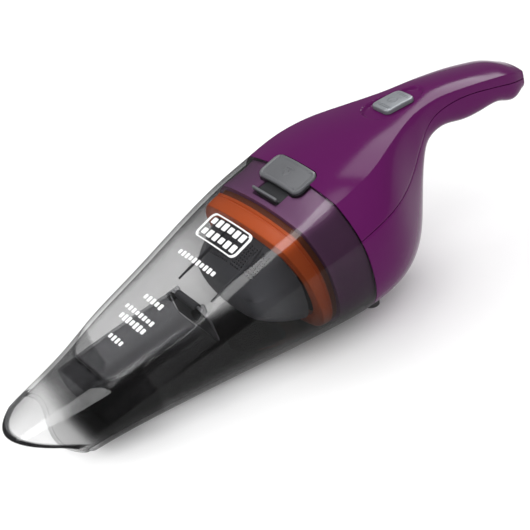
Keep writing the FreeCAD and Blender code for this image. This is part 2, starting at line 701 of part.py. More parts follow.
BOARD_TOP = BOARD_Z + 1.8
LEADS = {
    "battery_lead_positive": [(116.9, 2.0, 91.4), (111.5, 3.6, 93.4), (107.2, 5.6, 93.0),
                              (106.2, 6.4, BOARD_TOP)],
    "battery_lead_negative": [(181.8, -5.0, 73.6), (185.6, -7.0, 73.4), (186.2, -10.8, 74.2),
                              (181.0, -12.2, 75.8), (170.0, -12.3, 78.2), (152.0, -12.4, 83.2),
                              (132.0, -12.2, 88.6), (118.0, -10.2, 91.6), (110.0, -7.0, 93.0),
                              (105.8, -6.3, 91.6), (105.6, -6.2, BOARD_TOP)],
    "motor_lead_positive": [(82.2, 11.0, 60.0), (87.5, 11.0, 61.5), (90.0, 9.6, 70.0), (87.2, 7.6, 78.0),
                            (87.0, 7.2, 85.8)],
    "motor_lead_negative": [(82.2, -11.0, 60.0), (87.5, -11.0, 61.5), (90.0, -9.6, 70.0), (87.2, -7.6, 78.0),
                            (87.0, -7.2, 85.8)],
    "charge_lead_positive": [(86.3, 1.6, 50.6), (86.4, 1.8, 56.0), (88.6, 3.4, 65.0), (93.0, 4.2, 73.0),
                             (97.4, 3.8, 79.6), (98.0, 3.5, 85.8)],
    "charge_lead_negative": [(86.3, -1.6, 50.6), (86.4, -1.8, 56.0), (88.6, -3.4, 65.0), (93.0, -4.2, 73.0),
                             (97.4, -3.8, 79.6), (98.0, -3.5, 85.8)],
}


# ---------------------------------------------------------------- fasteners and feet
def screw(tip, direction, length, head=2.7):
    """Pan-head screw with a cross recess, from its head towards its tip."""
    axis = V(*direction)
    origin = V(*tip)
    shank = Part.makeCylinder(SCREW_R - 0.12, length, origin, axis)
    cap = Part.makeCylinder(head, 1.6, origin - axis * 1.6, axis)
    return shank.fuse(cap).cut(Part.makeCylinder(0.8, 1.0, origin - axis * 1.7, axis))


def shell_screws():
    return Part.makeCompound([screw((x, y, seat), (0, 0, 1), SCREW_LENGTH) for x, y, seat, _ in SHELL_SCREWS])


def bulkhead_screws():
    return Part.makeCompound([screw((0.0, y, z), (1, 0, 0), 10.5, 2.6) for y, z in BULKHEAD_SCREWS])


def stand(shape, drop=V(0, 0, 0)):
    """The shape pitched nose down, then moved by drop."""
    placed = shape.copy()
    placed.rotate(V(0, 0, 0), V(0, 1, 0), -PITCH)
    placed.translate(drop)
    return placed


def rubber_foot(side, outer, drop):
    """Upright pad from the ground to the casing's underside, already in the standing position."""
    centre = stand(Part.Vertex(V(FOOT_X, side * FOOT_HALF, 0)), drop).Point
    pad = Part.makeCone(FOOT_R - 0.8, FOOT_R, 14.0, V(centre.x, centre.y, 0))
    return pad.cut(stand(outer, drop))


def build():
    outer, wall = casing()
    region = seam_region()
    outset = hull_solid(JOINT_INDEX - 1, JOINT_INDEX + 1, -1.0)
    parts = {
        "bowl": bowl(),
        "inner_duct": inner_duct(),
        "flap_pin": flap_pin(),
        "duct_flap": duct_flap(),
        "filter_ring": filter_ring(),
        "filter_seal": filter_seal(),
        "prefilter_cup": prefilter_cup(),
        "pleated_filter": pleated_filter(),
        "filter_rim": filter_rim(),
        "top_shell": top_shell(outer, wall, region),
        "lower_shell": lower_shell(outer, wall, region),
        "motor_bulkhead": bulkhead(),
        "intake_grille": intake_grille(),
        "fan_shroud": fan_shroud(),
        "impeller": impeller(),
        "motor_shaft": motor_shaft(),
        "armature_core": armature_core(),
        "commutator": commutator(),
        "motor_can": motor_can(),
        "field_magnets": field_magnets(),
        "motor_end_cap": motor_end_cap(),
        "motor_terminals": motor_terminals(),
        "motor_brushes": motor_brushes(),
        "front_bush": bush(CAN_X0 - 2.4, CAN_X0 + 1.6),
        "rear_bush": bush(CAN_X1 + 0.4, CAN_X1 + 4.4),
        "front_motor_ring": motor_ring(41.5),
        "rear_motor_ring": motor_ring(68.0),
        "release_button": release_button(outset),
        "latch_spring": latch_spring(),
        "power_switch": power_switch(),
        "switch_link": switch_link(),
        "circuit_board": circuit_board(),
        "board_parts": board_parts(),
        "micro_switch": micro_switch(),
        "charge_lamp": charge_lamp(),
        "battery_cell": battery_cell(),
        "front_cell_tab": cell_tab(-1.6),
        "rear_cell_tab": cell_tab(CELL_LENGTH - 1.1),
        "cell_pads": cell_pads(),
        "charging_socket": charging_socket(),
        "shell_screws": shell_screws(),
        "bulkhead_screws": bulkhead_screws(),
    }
    for name, points in LEADS.items():
        parts[name] = lead(points)
    ground = stand(parts["bowl"]).optimalBoundingBox(True, False)
    tail = stand(outer).optimalBoundingBox(True, False)
    drop = V(-(ground.XMin + tail.XMax) / 2, 0, -ground.ZMin)
    parts = {name: stand(shape, drop) for name, shape in parts.items()}
    feet = [rubber_foot(side, outer, drop) for side in (-1, 1)]
    parts["rubber_feet"] = Part.makeCompound(feet)
    print("drop %.4f %.4f %.4f" % tuple(drop))
    return parts


os.makedirs("parts", exist_ok=True)
for node, shape in build().items():
    print(node, "solids", len(shape.Solids), "valid", shape.isValid(), "volume", round(shape.Volume))
    shape.exportStep("parts/%s.step" % node)
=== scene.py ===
import json
import math

import bpy
import numpy as np
from mathutils import Matrix, Vector


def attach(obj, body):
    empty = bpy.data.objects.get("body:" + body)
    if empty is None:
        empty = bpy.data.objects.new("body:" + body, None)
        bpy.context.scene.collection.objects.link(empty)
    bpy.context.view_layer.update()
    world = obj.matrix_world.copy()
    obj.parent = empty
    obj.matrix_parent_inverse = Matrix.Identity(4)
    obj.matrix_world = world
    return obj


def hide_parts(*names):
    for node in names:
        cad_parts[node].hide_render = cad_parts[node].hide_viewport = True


bl_info = {
    "name": "Handheld cordless vacuum",
    "version": (1, 0, 0),
    "blender": (4, 5, 0),
    "location": "3D View > Sidebar > Vacuum",
    "description": "Builds the visible pieces of a handheld cordless vacuum around its packed CAD frame",
    "category": "Object",
}

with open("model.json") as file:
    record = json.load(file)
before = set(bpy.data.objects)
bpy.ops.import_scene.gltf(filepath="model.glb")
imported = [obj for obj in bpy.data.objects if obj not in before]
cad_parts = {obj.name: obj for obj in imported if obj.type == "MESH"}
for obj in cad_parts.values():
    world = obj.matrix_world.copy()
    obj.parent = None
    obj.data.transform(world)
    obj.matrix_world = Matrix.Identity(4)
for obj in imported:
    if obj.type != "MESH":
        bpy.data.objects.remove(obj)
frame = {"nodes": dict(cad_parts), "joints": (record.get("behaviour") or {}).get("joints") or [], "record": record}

# Shapes are worked out in millimetres in the dust bowl's own frame, as in the CAD source: X runs from the
# nozzle (-X) to the handle (+X), Y is across and Z is up. The cleaner stands with that frame pitched nose down.
PITCH = math.radians(11.0)
FLAP_PIN = np.array([-66.7, 0.0, 73.0])
JOINT_X = 25.0
BUTTON_X, BUTTON_HALF_X, BUTTON_HALF_Y, BUTTON_CORNER = 23.8, 9.6, 20.4, 5.0
SWITCH_HALF_X, SWITCH_HALF_Y, SWITCH_CORNER, SWITCH_SLOPE = 11.5, 8.2, 3.4, math.radians(8.0)
SOCKET_Z, SOCKET_RADIUS, SOCKET_FROM, SOCKET_TO = 50.0, 5.15, 81.0, 121.0
VENT_X, VENT_PITCH, VENT_COUNT, VENT_Y = 45.3, 5.5, 5, 14.0

# Hull stations, nozzle to handle: top centre x, z, bottom centre x, z, crease half-width and height,
# widest half-width and height.
HULL = np.array([
    (-206, 70.5, -206, 45.0, 22.5, 64.5, 31.0, 57.0),
    (-170, 73.6, -170, 43.0, 27.5, 68.8, 35.5, 59.5),
    (-140, 76.6, -140, 39.5, 30.0, 73.6, 40.0, 62.0),
    (-120, 80.0, -120, 36.0, 32.3, 78.6, 43.5, 64.0),
    (-80, 87.2, -80, 28.5, 37.8, 84.7, 50.0, 66.0),
    (-40, 95.6, -40, 20.3, 41.6, 92.4, 56.0, 67.0),
    (0, 104.0, 0, 12.2, 44.2, 99.2, 60.6, 67.5),
    (25, 108.1, 25, 9.0, 44.6, 101.9, 62.5, 67.5),
    (42, 109.9, 45, 9.2, 44.4, 103.6, 61.3, 67.0),
    (58, 110.3, 64, 11.0, 41.4, 104.8, 54.0, 66.5),
    (72, 109.8, 80, 17.5, 36.0, 105.4, 43.5, 68.0),
    (84, 108.4, 91, 30.0, 30.4, 105.1, 35.0, 75.0),
    (95, 107.0, 99, 45.0, 25.4, 104.5, 29.0, 82.0),
    (106, 105.6, 106, 60.0, 21.0, 103.6, 24.6, 87.0),
    (118, 103.8, 115, 72.0, 17.9, 102.0, 20.4, 88.0),
    (132, 101.8, 131, 74.0, 16.3, 99.6, 17.9, 87.0),
    (148, 97.8, 147, 68.0, 16.4, 95.3, 17.4, 82.0),
    (165, 92.3, 165, 64.8, 16.5, 89.9, 17.2, 78.0),
    (180, 86.8, 179, 62.0, 16.1, 84.4, 16.8, 74.0),
    (193, 81.0, 191, 56.0, 14.6, 78.8, 15.4, 68.5),
    (201, 75.5, 199, 58.0, 11.5, 74.0, 12.4, 67.0),
], float)
SEAM = np.array([
    (18, 79.5), (45, 81.5), (62, 79.5), (78, 77.0), (92, 78.5), (106, 85.0),
    (120, 90.5), (135, 91.0), (150, 88.6), (170, 81.5), (190, 73.0), (210, 64.0),
], float)


# ---------------------------------------------------------------- geometry helpers
def pitched(vectors):
    """Vectors of the bowl's frame turned into the standing frame."""
    c, s = math.cos(PITCH), math.sin(PITCH)
    x, y, z = np.moveaxis(np.asarray(vectors, float), -1, 0)
    return np.stack([x * c - z * s, y, x * s + z * c], -1)


def drop():
    """Shift, in metres, from the pitched bowl frame to the standing frame, read from the flap's hinge."""
    hinge = next(j for j in frame["joints"] if j["name"] == "flap_hinge")
    return np.array(hinge["pos_m"]) - pitched(FLAP_PIN) / 1000


def place(points):
    """Bowl-frame millimetres to standing-frame metres."""
    return pitched(points) / 1000 + drop()


def spline(knots, values, at):
    """Natural cubic spline: passes through every knot with no jump in slope or curvature, each column alone."""
    h = np.diff(knots)
    count = len(knots)
    matrix = np.eye(count)
    inner = np.arange(1, count - 1)
    matrix[inner, inner - 1] = h[:-1]
    matrix[inner, inner] = 2 * (h[:-1] + h[1:])
    matrix[inner, inner + 1] = h[1:]
    right = np.zeros_like(values)
    right[1:-1] = 6 * np.diff(np.diff(values, axis=0) / h[:, None], axis=0)
    bend = np.linalg.solve(matrix, right)
    k = np.clip(np.searchsorted(knots, at, side="right") - 1, 0, count - 2)
    a = ((knots[k + 1] - at) / h[k])[..., None]
    b = 1 - a
    curve = ((a ** 3 - a) * bend[k] + (b ** 3 - b) * bend[k + 1]) * (h[k] ** 2)[..., None] / 6
    return a * values[k] + b * values[k + 1] + curve


def bezier(p0, p1, p2, p3, t):
    return (1 - t) ** 3 * p0 + 3 * (1 - t) ** 2 * t * p1 + 3 * (1 - t) * t ** 2 * p2 + t ** 3 * p3


def mix(a, b, t):
    return a + (b - a) * t


def smooth(edge0, edge1, x):
    """0 below edge0, 1 above edge1, with a soft S between them."""
    t = np.clip((x - edge0) / (edge1 - edge0), 0, 1)
    return t * t * (3 - 2 * t)


STEEP = np.hypot(1, np.gradient(HULL[:, 6], HULL[:, 2]))
CLIMB = np.minimum(np.hypot(1, np.gradient(HULL[:, 3], HULL[:, 2])), 2.2)
STATIONS = np.column_stack([HULL[:, 1:], STEEP, CLIMB])


def hull(along, turn, inset=0.0):
    """Point of the hull. along is the x of the section's top. turn goes round it: 0 at the top centre, 1 at the
    crease, 2 at the widest place and 3 at the bottom centre, negative on the far side. The section is a parabola
    from crease to crease, a Bezier shoulder down to the widest place and a Bezier quarter to the bottom, and the
    numbers that shape it follow cubic splines along the hull. inset moves it inwards."""
    along, turn, inset = np.broadcast_arrays(*np.atleast_1d(along, turn, inset))
    turn = (turn + 3) % 6 - 3
    rows = spline(HULL[:, 0], STATIONS, along)
    top_z, low_x, low_z, crease, crease_z, wide, wide_z, steep, climb = np.moveaxis(rows, -1, 0)
    lean = (along - low_x) / (top_z - low_z)
    top_z, low_z = top_z - inset, low_z + inset * climb
    crease, crease_z, wide = crease - 0.75 * inset * steep, crease_z - inset, wide - inset * steep
    a = np.abs(turn)
    reach = 0.6 * (wide - crease)
    t = np.clip(a - 1, 0, 1)
    shoulder_y = bezier(crease, crease + reach, wide, wide, t)
    shoulder_z = bezier(crease_z, crease_z - 0.84 * reach, wide_z + 0.42 * (crease_z - wide_z), wide_z, t)
    t = np.clip(a - 2, 0, 1)
    under_y = bezier(wide, wide, 0.69 * wide, 0.0, t)
    under_z = bezier(wide_z, mix(wide_z, low_z, 0.69), low_z, low_z, t)
    y = np.where(a < 1, crease * a, np.where(a < 2, shoulder_y, under_y))
    z = np.where(a < 1, crease_z + (top_z - crease_z) * (1 - a * a), np.where(a < 2, shoulder_z, under_z))
    return np.stack([low_x + (z - low_z) * lean, np.sign(turn) * y, z], -1)


def slab(outer, inner, keep=None):
    """Closed wall between two grids of points: both faces, and a rim wherever the kept cells end."""
    rows, columns = outer.shape[:2]
    index = np.arange(rows * columns).reshape(rows, columns)
    cells = np.stack([index[:-1, :-1], index[:-1, 1:], index[1:, 1:], index[1:, :-1]], -1)
    cells = cells.reshape(-1, 4) if keep is None else cells[keep]
    half = rows * columns
    _, spot = np.unique(np.round(outer.reshape(-1, 3), 4), axis=0, return_inverse=True)
    spot = spot.reshape(-1)
    edges = np.stack([cells, np.roll(cells, -1, axis=1)], -1).reshape(-1, 2)
    key = np.sort(spot[edges], axis=1)
    edges, key = edges[key[:, 0] != key[:, 1]], key[key[:, 0] != key[:, 1]]
    _, which, count = np.unique(key, axis=0, return_inverse=True, return_counts=True)
    rim = edges[count[which.reshape(-1)] == 1]
    walls = np.stack([rim[:, 1], rim[:, 0], rim[:, 0] + half, rim[:, 1] + half], 1)
    points = np.concatenate([outer.reshape(-1, 3), inner.reshape(-1, 3)])
    return points, np.concatenate([cells, cells[:, ::-1] + half, walls])


def outwards(points, cells):
    """The cells turned so that they face out of the closed shape."""
    a, b, c, d = (points[cells[:, k]] for k in range(4))
    volume = np.einsum("ij,ij->", a, np.cross(b, c)) + np.einsum("ij,ij->", a, np.cross(c, d))
    return (points, cells[:, ::-1]) if volume < 0 else (points, cells)


def joined(*shapes):
    """Several closed shapes as one list of points and cells."""
    points, cells, offset = [], [], 0
    for shape in shapes:
        shape_points, shape_cells = outwards(*shape)
        points.append(shape_points)
        cells.append(shape_cells + offset)
        offset += len(shape_points)
    return np.concatenate(points), np.concatenate(cells)


def loop_grid(rings, capped=False):
    """Cells over rings of points, closed round each ring. The rings close on each other too, unless capped."""
    count, around = rings.shape[:2]
    index = np.arange(count * around).reshape(count, around)
    index = np.concatenate([index, index[:, :1]], 1)
    if not capped:
        index = np.concatenate([index, index[:1]], 0)
    cells = np.stack([index[:-1, :-1], index[:-1, 1:], index[1:, 1:], index[1:, :-1]], -1)
    return rings.reshape(-1, 3), cells.reshape(-1, 4)


def block(centre, half, radius, steps=3):
    """Box with every edge rounded: each point of a box grid is pushed to radius from the smaller box inside."""
    half = np.array(half, float)
    core = half - radius
    arc = np.sin(np.linspace(0, math.pi / 4, steps + 1)) / math.sin(math.pi / 4)
    shapes, offset = [], 0
    lines = [np.concatenate([-c - radius * arc[::-1], c + radius * arc]) for c in core]
    for axis in range(3):
        u, v = (axis + 1) % 3, (axis + 2) % 3
        for side in (-1, 1):
            a, b = np.meshgrid(lines[u], lines[v][::side], indexing="ij")
            grid = np.empty(a.shape + (3,))
            grid[..., axis], grid[..., u], grid[..., v] = side * half[axis], a, b
            inner = np.clip(grid, -core, core)
            away = grid - inner
            grid = inner + radius * away / np.linalg.norm(away, axis=-1, keepdims=True)
            index = np.arange(a.size).reshape(a.shape) + offset
            cells = np.stack([index[:-1, :-1], index[1:, :-1], index[1:, 1:], index[:-1, 1:]], -1)
            shapes.append((grid.reshape(-1, 3) + np.array(centre), cells.reshape(-1, 4)))
            offset += a.size
    return np.concatenate([s[0] for s in shapes]), np.concatenate([s[1] for s in shapes])


def tube(centre, axis, radii, stops, around=48):
    """Solid or hollow turning: rings of the given radii at the given stops along the axis, closed on itself."""
    axis = np.array(axis, float) / np.linalg.norm(axis)
    side = np.cross(axis, (0, 0, 1) if abs(axis[2]) < 0.9 else (1, 0, 0))
    side /= np.linalg.norm(side)
    up = np.cross(axis, side)
    angle = np.linspace(0, 2 * math.pi, around, endpoint=False)
    circle = np.cos(angle)[:, None] * side + np.sin(angle)[:, None] * up
    rings = np.array(centre) + np.array(stops)[:, None, None] * axis + np.array(radii)[:, None, None] * circle
    return loop_grid(rings)


def pad(half_x, half_y, corner, lines_x, lines_y):
    """Rounded-rectangle grid of x, y: squares nested inside each other, each drawn out to a rounded rectangle."""
    u, v = np.meshgrid(lines_x, lines_y, indexing="ij")
    level = np.maximum(np.maximum(np.abs(u), np.abs(v)), 1e-9)
    x, y = u / level * half_x, v / level * half_y
    inner_x = np.clip(x, -(half_x - corner), half_x - corner)
    inner_y = np.clip(y, -(half_y - corner), half_y - corner)
    away = np.maximum(np.hypot(x - inner_x, y - inner_y), 1e-9)
    x = inner_x + (x - inner_x) / away * np.minimum(away, corner)
    y = inner_y + (y - inner_y) / away * np.minimum(away, corner)
    return x * level, y * level, level


def piece(name, shape, body, nodes, material, sharp=35.0, closed=True):
    """Mesh object from points and quads: points that meet are joined, and cells that fold away are dropped."""
    points, cells = outwards(*shape) if closed else shape
    spots, which = np.unique(np.round(points, 4), axis=0, return_inverse=True)
    cells = which.reshape(-1)[cells]
    real = cells != np.roll(cells, 1, axis=1)
    kept = real.sum(1) > 2
    cells, real = cells[kept], real[kept]
    size = real.sum(1)
    mesh = bpy.data.meshes.new(name)
    mesh.vertices.add(len(spots))
    mesh.vertices.foreach_set("co", place(spots).ravel())
    mesh.loops.add(int(size.sum()))
    mesh.loops.foreach_set("vertex_index", cells[real])
    mesh.polygons.add(len(cells))
    mesh.polygons.foreach_set("loop_start", np.cumsum(size) - size)
    mesh.update(calc_edges=True)
    mesh.validate()
    mesh.polygons.foreach_set("use_smooth", np.ones(len(mesh.polygons), bool))
    mesh.set_sharp_from_angle(angle=math.radians(sharp))
    obj = bpy.data.objects.new(name, mesh)
    bpy.context.scene.collection.objects.link(obj)
    mesh.materials.append(material)
    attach(obj, body)
    if nodes:
        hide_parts(*nodes)
    return obj


def carve(obj, shape, sharp=35.0):
    """Cuts a closed shape out of a piece and keeps the result as its mesh."""
    points, cells = outwards(*shape)
    spots, which = np.unique(np.round(points, 4), axis=0, return_inverse=True)
    faces = which.reshape(-1)[cells]
    mesh = bpy.data.meshes.new("cutter")
    mesh.from_pydata(place(spots).tolist(), [], [list(dict.fromkeys(f)) for f in faces.tolist()])
    cutter = bpy.data.objects.new("cutter", mesh)
    bpy.context.scene.collection.objects.link(cutter)
    cut = obj.modifiers.new("cut", "BOOLEAN")
    cut.operation, cut.solver, cut.object = "DIFFERENCE", "MANIFOLD", cutter
    bpy.context.view_layer.update()
    graph = bpy.context.evaluated_depsgraph_get()
    result = bpy.data.meshes.new_from_object(obj.evaluated_get(graph))
    obj.modifiers.clear()
    obj.data = result
    result.polygons.foreach_set("use_smooth", np.ones(len(result.polygons), bool))
    result.set_sharp_from_angle(angle=math.radians(sharp))
    bpy.data.objects.remove(cutter)


# ---------------------------------------------------------------- materials
def srgb(red, green, blue):
    """Linear colour of 8-bit screen values."""
    c = np.array([red, green, blue]) / 255
    return tuple(np.where(c <= 0.04045, c / 12.92, ((c + 0.055) / 1.055) ** 2.4)) + (1.0,)


def shader(name, colour, roughness=0.35, metallic=0.0, grain=0.03, grain_size=0.0004, spread=0.08, coat=0.0,
           sheen=0.0, specular=0.2):
    """Moulded or metal finish: two near tones and a little change of gloss from soft noise, and a fine grain."""
    name = "look_" + name
    if name in bpy.data.materials:
        return bpy.data.materials[name]
    material = bpy.data.materials.new(name)
    material.use_nodes = True
    nodes, links = material.node_tree.nodes, material.node_tree.links
    base = nodes["Principled BSDF"]
    base.inputs["Metallic"].default_value = metallic
    base.inputs["Coat Weight"].default_value = coat
    base.inputs["Sheen Weight"].default_value = sheen
    base.inputs["Specular IOR Level"].default_value = specular
    where = nodes.new("ShaderNodeTexCoord")
    cloud = nodes.new("ShaderNodeTexNoise")
    cloud.inputs["Scale"].default_value = 60.0
    cloud.inputs["Detail"].default_value = 3.0
    links.new(where.outputs["Object"], cloud.inputs["Vector"])
    tone = nodes.new("ShaderNodeMix")
    tone.data_type = "RGBA"
    tone.inputs[6].default_value = tuple(c * (1 - spread) for c in colour[:3]) + (1.0,)
    tone.inputs[7].default_value = tuple(min(1.0, c * (1 + spread)) for c in colour[:3]) + (1.0,)
    links.new(cloud.outputs["Fac"], tone.inputs["Factor"])
    links.new(tone.outputs[2], base.inputs["Base Color"])
    gloss = nodes.new("ShaderNodeMapRange")
    gloss.inputs["To Min"].default_value = roughness * 0.88
    gloss.inputs["To Max"].default_value = roughness * 1.12
    links.new(cloud.outputs["Fac"], gloss.inputs["Value"])
    links.new(gloss.outputs["Result"], base.inputs["Roughness"])
    fine = nodes.new("ShaderNodeTexNoise")
    fine.inputs["Scale"].default_value = 1 / grain_size
    fine.inputs["Detail"].default_value = 2.0
    links.new(where.outputs["Object"], fine.inputs["Vector"])
    bump = nodes.new("ShaderNodeBump")
    bump.inputs["Strength"].default_value = grain
    bump.inputs["Distance"].default_value = grain_size
    links.new(fine.outputs["Fac"], bump.inputs["Height"])
    links.new(bump.outputs["Normal"], base.inputs["Normal"])
    return material


def clear(name, tint, dark, edge, haze=0.03, shine=0.04):
    """Smoked clear moulding that doesn't bend light: see-through, from tint to dark as a point attribute rises,
    which holds the smoke tint with painted shade and a painted bright patch on it, and towards edge where the wall
    is seen at a slant, under a mirror layer that grows by Schlick's formula."""
    name = "look_" + name
    if name in bpy.data.materials:
        return bpy.data.materials[name]
    material = bpy.data.materials.new(name)
    material.use_nodes = True
    nodes, links = material.node_tree.nodes, material.node_tree.links
    nodes.remove(nodes["Principled BSDF"])
    facing = nodes.new("ShaderNodeLayerWeight")
    facing.inputs["Blend"].default_value = 0.5
    slant = nodes.new("ShaderNodeMath")
    slant.operation = "POWER"
    slant.inputs[1].default_value = 5.0
    links.new(facing.outputs["Facing"], slant.inputs[0])
    mirror = nodes.new("ShaderNodeMapRange")
    mirror.inputs["To Min"].default_value = shine
    mirror.inputs["To Max"].default_value = 0.6
    links.new(slant.outputs["Value"], mirror.inputs["Value"])
    deep = nodes.new("ShaderNodeMath")
    deep.operation = "POWER"
    deep.inputs[1].default_value = 2.5
    links.new(facing.outputs["Facing"], deep.inputs[0])
    # The point attribute holds the bowl's smoke tint with painted shade and a painted bright patch on it.
    smoke_and_shade = nodes.new("ShaderNodeAttribute")
    smoke_and_shade.attribute_name = "smoke_and_shade"
    body = nodes.new("ShaderNodeMix")
    body.data_type = "RGBA"
    body.inputs[6].default_value = tint
    body.inputs[7].default_value = dark
    links.new(smoke_and_shade.outputs["Fac"], body.inputs["Factor"])
    shade = nodes.new("ShaderNodeMix")
    shade.data_type = "RGBA"
    links.new(body.outputs[2], shade.inputs[6])
    shade.inputs[7].default_value = edge
    links.new(deep.outputs["Value"], shade.inputs["Factor"])
    through = nodes.new("ShaderNodeBsdfTransparent")
    links.new(shade.outputs[2], through.inputs["Color"])
    shiny = nodes.new("ShaderNodeBsdfGlossy")
    shiny.inputs["Roughness"].default_value = haze
    both = nodes.new("ShaderNodeMixShader")
    links.new(mirror.outputs["Result"], both.inputs["Fac"])
    links.new(through.outputs["BSDF"], both.inputs[1])
    links.new(shiny.outputs["BSDF"], both.inputs[2])
    links.new(both.outputs["Shader"], nodes["Material Output"].inputs["Surface"])
    return material


def finishes():
    """Each material slot's shader."""
    s = bpy.context.scene.vacuum_colours
    return {
        "casing_plastic": shader("casing_plastic", tuple(s.casing), 0.12, grain=0.012, spread=0.03,
                                 specular=0.06),
        # Bowl: tint shows at the painted bright patch by the mouth, and dark is the colour that the painted shade
        # goes to.
        "smoked_clear": clear("smoked_clear", (0.97, 0.97, 0.97, 1), (0.14, 0.14, 0.145, 1),
                              (0.10, 0.10, 0.105, 1), 0.02, 0.012),
        "dark_clear": clear("dark_clear", (0.82, 0.82, 0.83, 1), (0.3, 0.3, 0.3, 1),
                            (0.3, 0.3, 0.31, 1), 0.12, 0.02),
        "black_plastic": shader("black_plastic", srgb(58, 58, 61), 0.42, grain=0.08),
        "cup_plastic": shader("cup_plastic", srgb(74, 74, 78), 0.5, grain=0.08),
        "ring_plastic": shader("ring_plastic", tuple(s.ring), 0.35, spread=0.04),
        "seal_rubber": shader("seal_rubber", srgb(116, 58, 34), 0.55, grain=0.08),
        "black_rubber": shader("black_rubber", srgb(26, 26, 28), 0.62, grain=0.12),
        "red_rubber": shader("red_rubber", srgb(150, 24, 20), 0.5, grain=0.08),
        "filter_cloth": shader("filter_cloth", srgb(214, 212, 205), 0.95, grain=0.6, grain_size=0.0003,
                               sheen=0.3),
        "foam": shader("foam", srgb(52, 52, 56), 0.95, grain=0.9, grain_size=0.0009),
        "steel": shader("steel", srgb(176, 178, 182), 0.32, metallic=1.0, grain=0.05),
        "magnet": shader("magnet", srgb(62, 62, 66), 0.5, metallic=0.6, grain=0.15),
        "brass": shader("brass", srgb(200, 160, 92), 0.3, metallic=1.0),
        "carbon": shader("carbon", srgb(36, 36, 38), 0.6, grain=0.2),
        "nickel": shader("nickel", srgb(190, 186, 176), 0.25, metallic=1.0),
        "cell_sleeve": shader("cell_sleeve", srgb(46, 96, 160), 0.3, spread=0.04),
        "board_green": shader("board_green", srgb(24, 84, 48), 0.4),
        "board_black": shader("board_black", srgb(28, 28, 30), 0.4),
        "lamp": shader("lamp", srgb(220, 60, 40), 0.15, coat=0.5),
        "print_white": shader("print_white", srgb(226, 226, 226), 0.6, grain=0.02),
        "button_grey": shader("button_grey", tuple(s.button), 0.35, grain=0.06, specular=0.3),
        "switch_silver": shader("switch_silver", tuple(s.switch), 0.3, metallic=0.35, grain=0.05),
    }


# ---------------------------------------------------------------- dust bowl
def turns(*spans):
    """Places round the section: spans of (first, last, steps) laid end to end."""
    return np.unique(np.concatenate([np.linspace(a, b, n + 1) for a, b, n in spans]).round(6))


def half_turns():
    """Places round one side, close together at the crease."""
    return turns((0, 0.9, 18), (0.9, 0.975, 4), (0.975, 1.05, 5), (1.05, 2, 14), (2, 3, 26))


def mouth_front(y, z):
    """x of the mouth's edge: a parabola across, which slants back towards the floor."""
    return -200.0 + 16.0 * (y / 33.0) ** 2 + 0.92 * (71.0 - z)


def panel_front(share):
    """x of the top panel's front edge: flat across the middle, and a sixth-power curve back to the crease."""
    return -139.5 + 19.5 * share ** 6


def lip(along, turn, inset):
    """Where on the hull the mouth's slanting, rounded front edge lies: along is corrected until it does."""
    for _ in range(8):
        x, y, z = np.moveaxis(hull(along, turn, inset), -1, 0)
        along = along + 0.8 * (mouth_front(y, z) - x)
    return along


def bowl_shape(wall, step, rounding):
    """Smoked shell. Round the section it is the hull; lengthwise it runs from the slanted mouth, over a low
    step that follows a sixth-power curve round the front of the top panel, to the joint with the casing."""
    half = half_turns()
    turn = np.concatenate([-half[:0:-1], half])
    a = np.abs(turn)
    start = lip(np.full_like(turn, -185.0), turn, 0.0)
    start_in = lip(np.full_like(turn, -185.0), turn, wall)
    panel = np.where(a < 1, panel_front(a), -120.0 + 6.0 * np.minimum(a - 1, 1))
    end = np.full_like(turn, JOINT_X - 0.3)
    arc = np.linspace(0, math.pi / 2, 5)
    depth = rounding * (1 - np.sin(arc))
    back = rounding * (1 - np.cos(arc))
    front = np.concatenate([[0.02, 0.035, 0.05], np.linspace(0.075, 1, 28)])
    rows = [start + b for b in back]
    deep = list(depth)
    lift = [0.0] * len(rows)
    for f in front:
        rows.append(mix(start + rounding, panel - 0.4, f))
        deep.append(0.0)
        lift.append(0.0)
    for shift, share in ((-0.15, 0.12), (0.0, 0.5), (0.15, 0.88), (0.4, 1.0)):
        rows.append(panel + shift)
        deep.append(0.0)
        lift.append(share)
    rear = np.linspace(0, 1, 100)[1:]
    for f in rear:
        rows.append(mix(panel + 0.4, end - 0.25, f))
        deep.append(0.0)
        lift.append(1 - smooth(0.0, 0.55, f))
    for b, d in ((0.07, 0.07), (0.0, 0.25)):
        rows.append(end - b)
        deep.append(d)
        lift.append(0.0)
    rows, deep, lift = np.array(rows), np.array(deep)[:, None], np.array(lift)[:, None]
    outer = hull(rows, turn[None, :], deep)
    outer[..., 2] += step * lift * (1 - smooth(0.985, 1.015, a))[None, :]
    inside = mix(start_in, end, np.linspace(0, 1, len(rows))[:, None])
    deep_in = np.full((len(rows), 1), wall)
    deep_in[0] = wall - rounding
    return slab(outer, hull(inside, turn[None, :], deep_in))


class VACUUM_OT_bowl(bpy.types.Operator):
    """Smoked see-through dust bowl with its scoop mouth"""
    bl_idname = "vacuum.bowl"
    bl_label = "Dust bowl"

    def execute(self, context):
        s = context.scene.vacuum_bowl
        shape = bowl_shape(s.wall * 1000, s.step * 1000, s.rounding * 1000)
        bowl = piece("bowl_clear", shape, "dust_bowl", ["bowl"],
                     finishes()["smoked_clear"], 20.0)
        carve(bowl, notch_shape(0.6), 20.0)
        # Paints shade and a bright patch into the bowl's smoke tint, as a point attribute.
        smoke_and_shade_by_place(bowl)
        bar = block((5.2, 0, 104.6), (0.8, 12.3, 1.3), 0.5)
        piece("catch_bar", bar, "dust_bowl", [], finishes()["button_grey"], closed=False)
        piece("window_print", window_print(s.step * 1000), "dust_bowl", [], finishes()["print_white"])
        return {"FINISHED"}


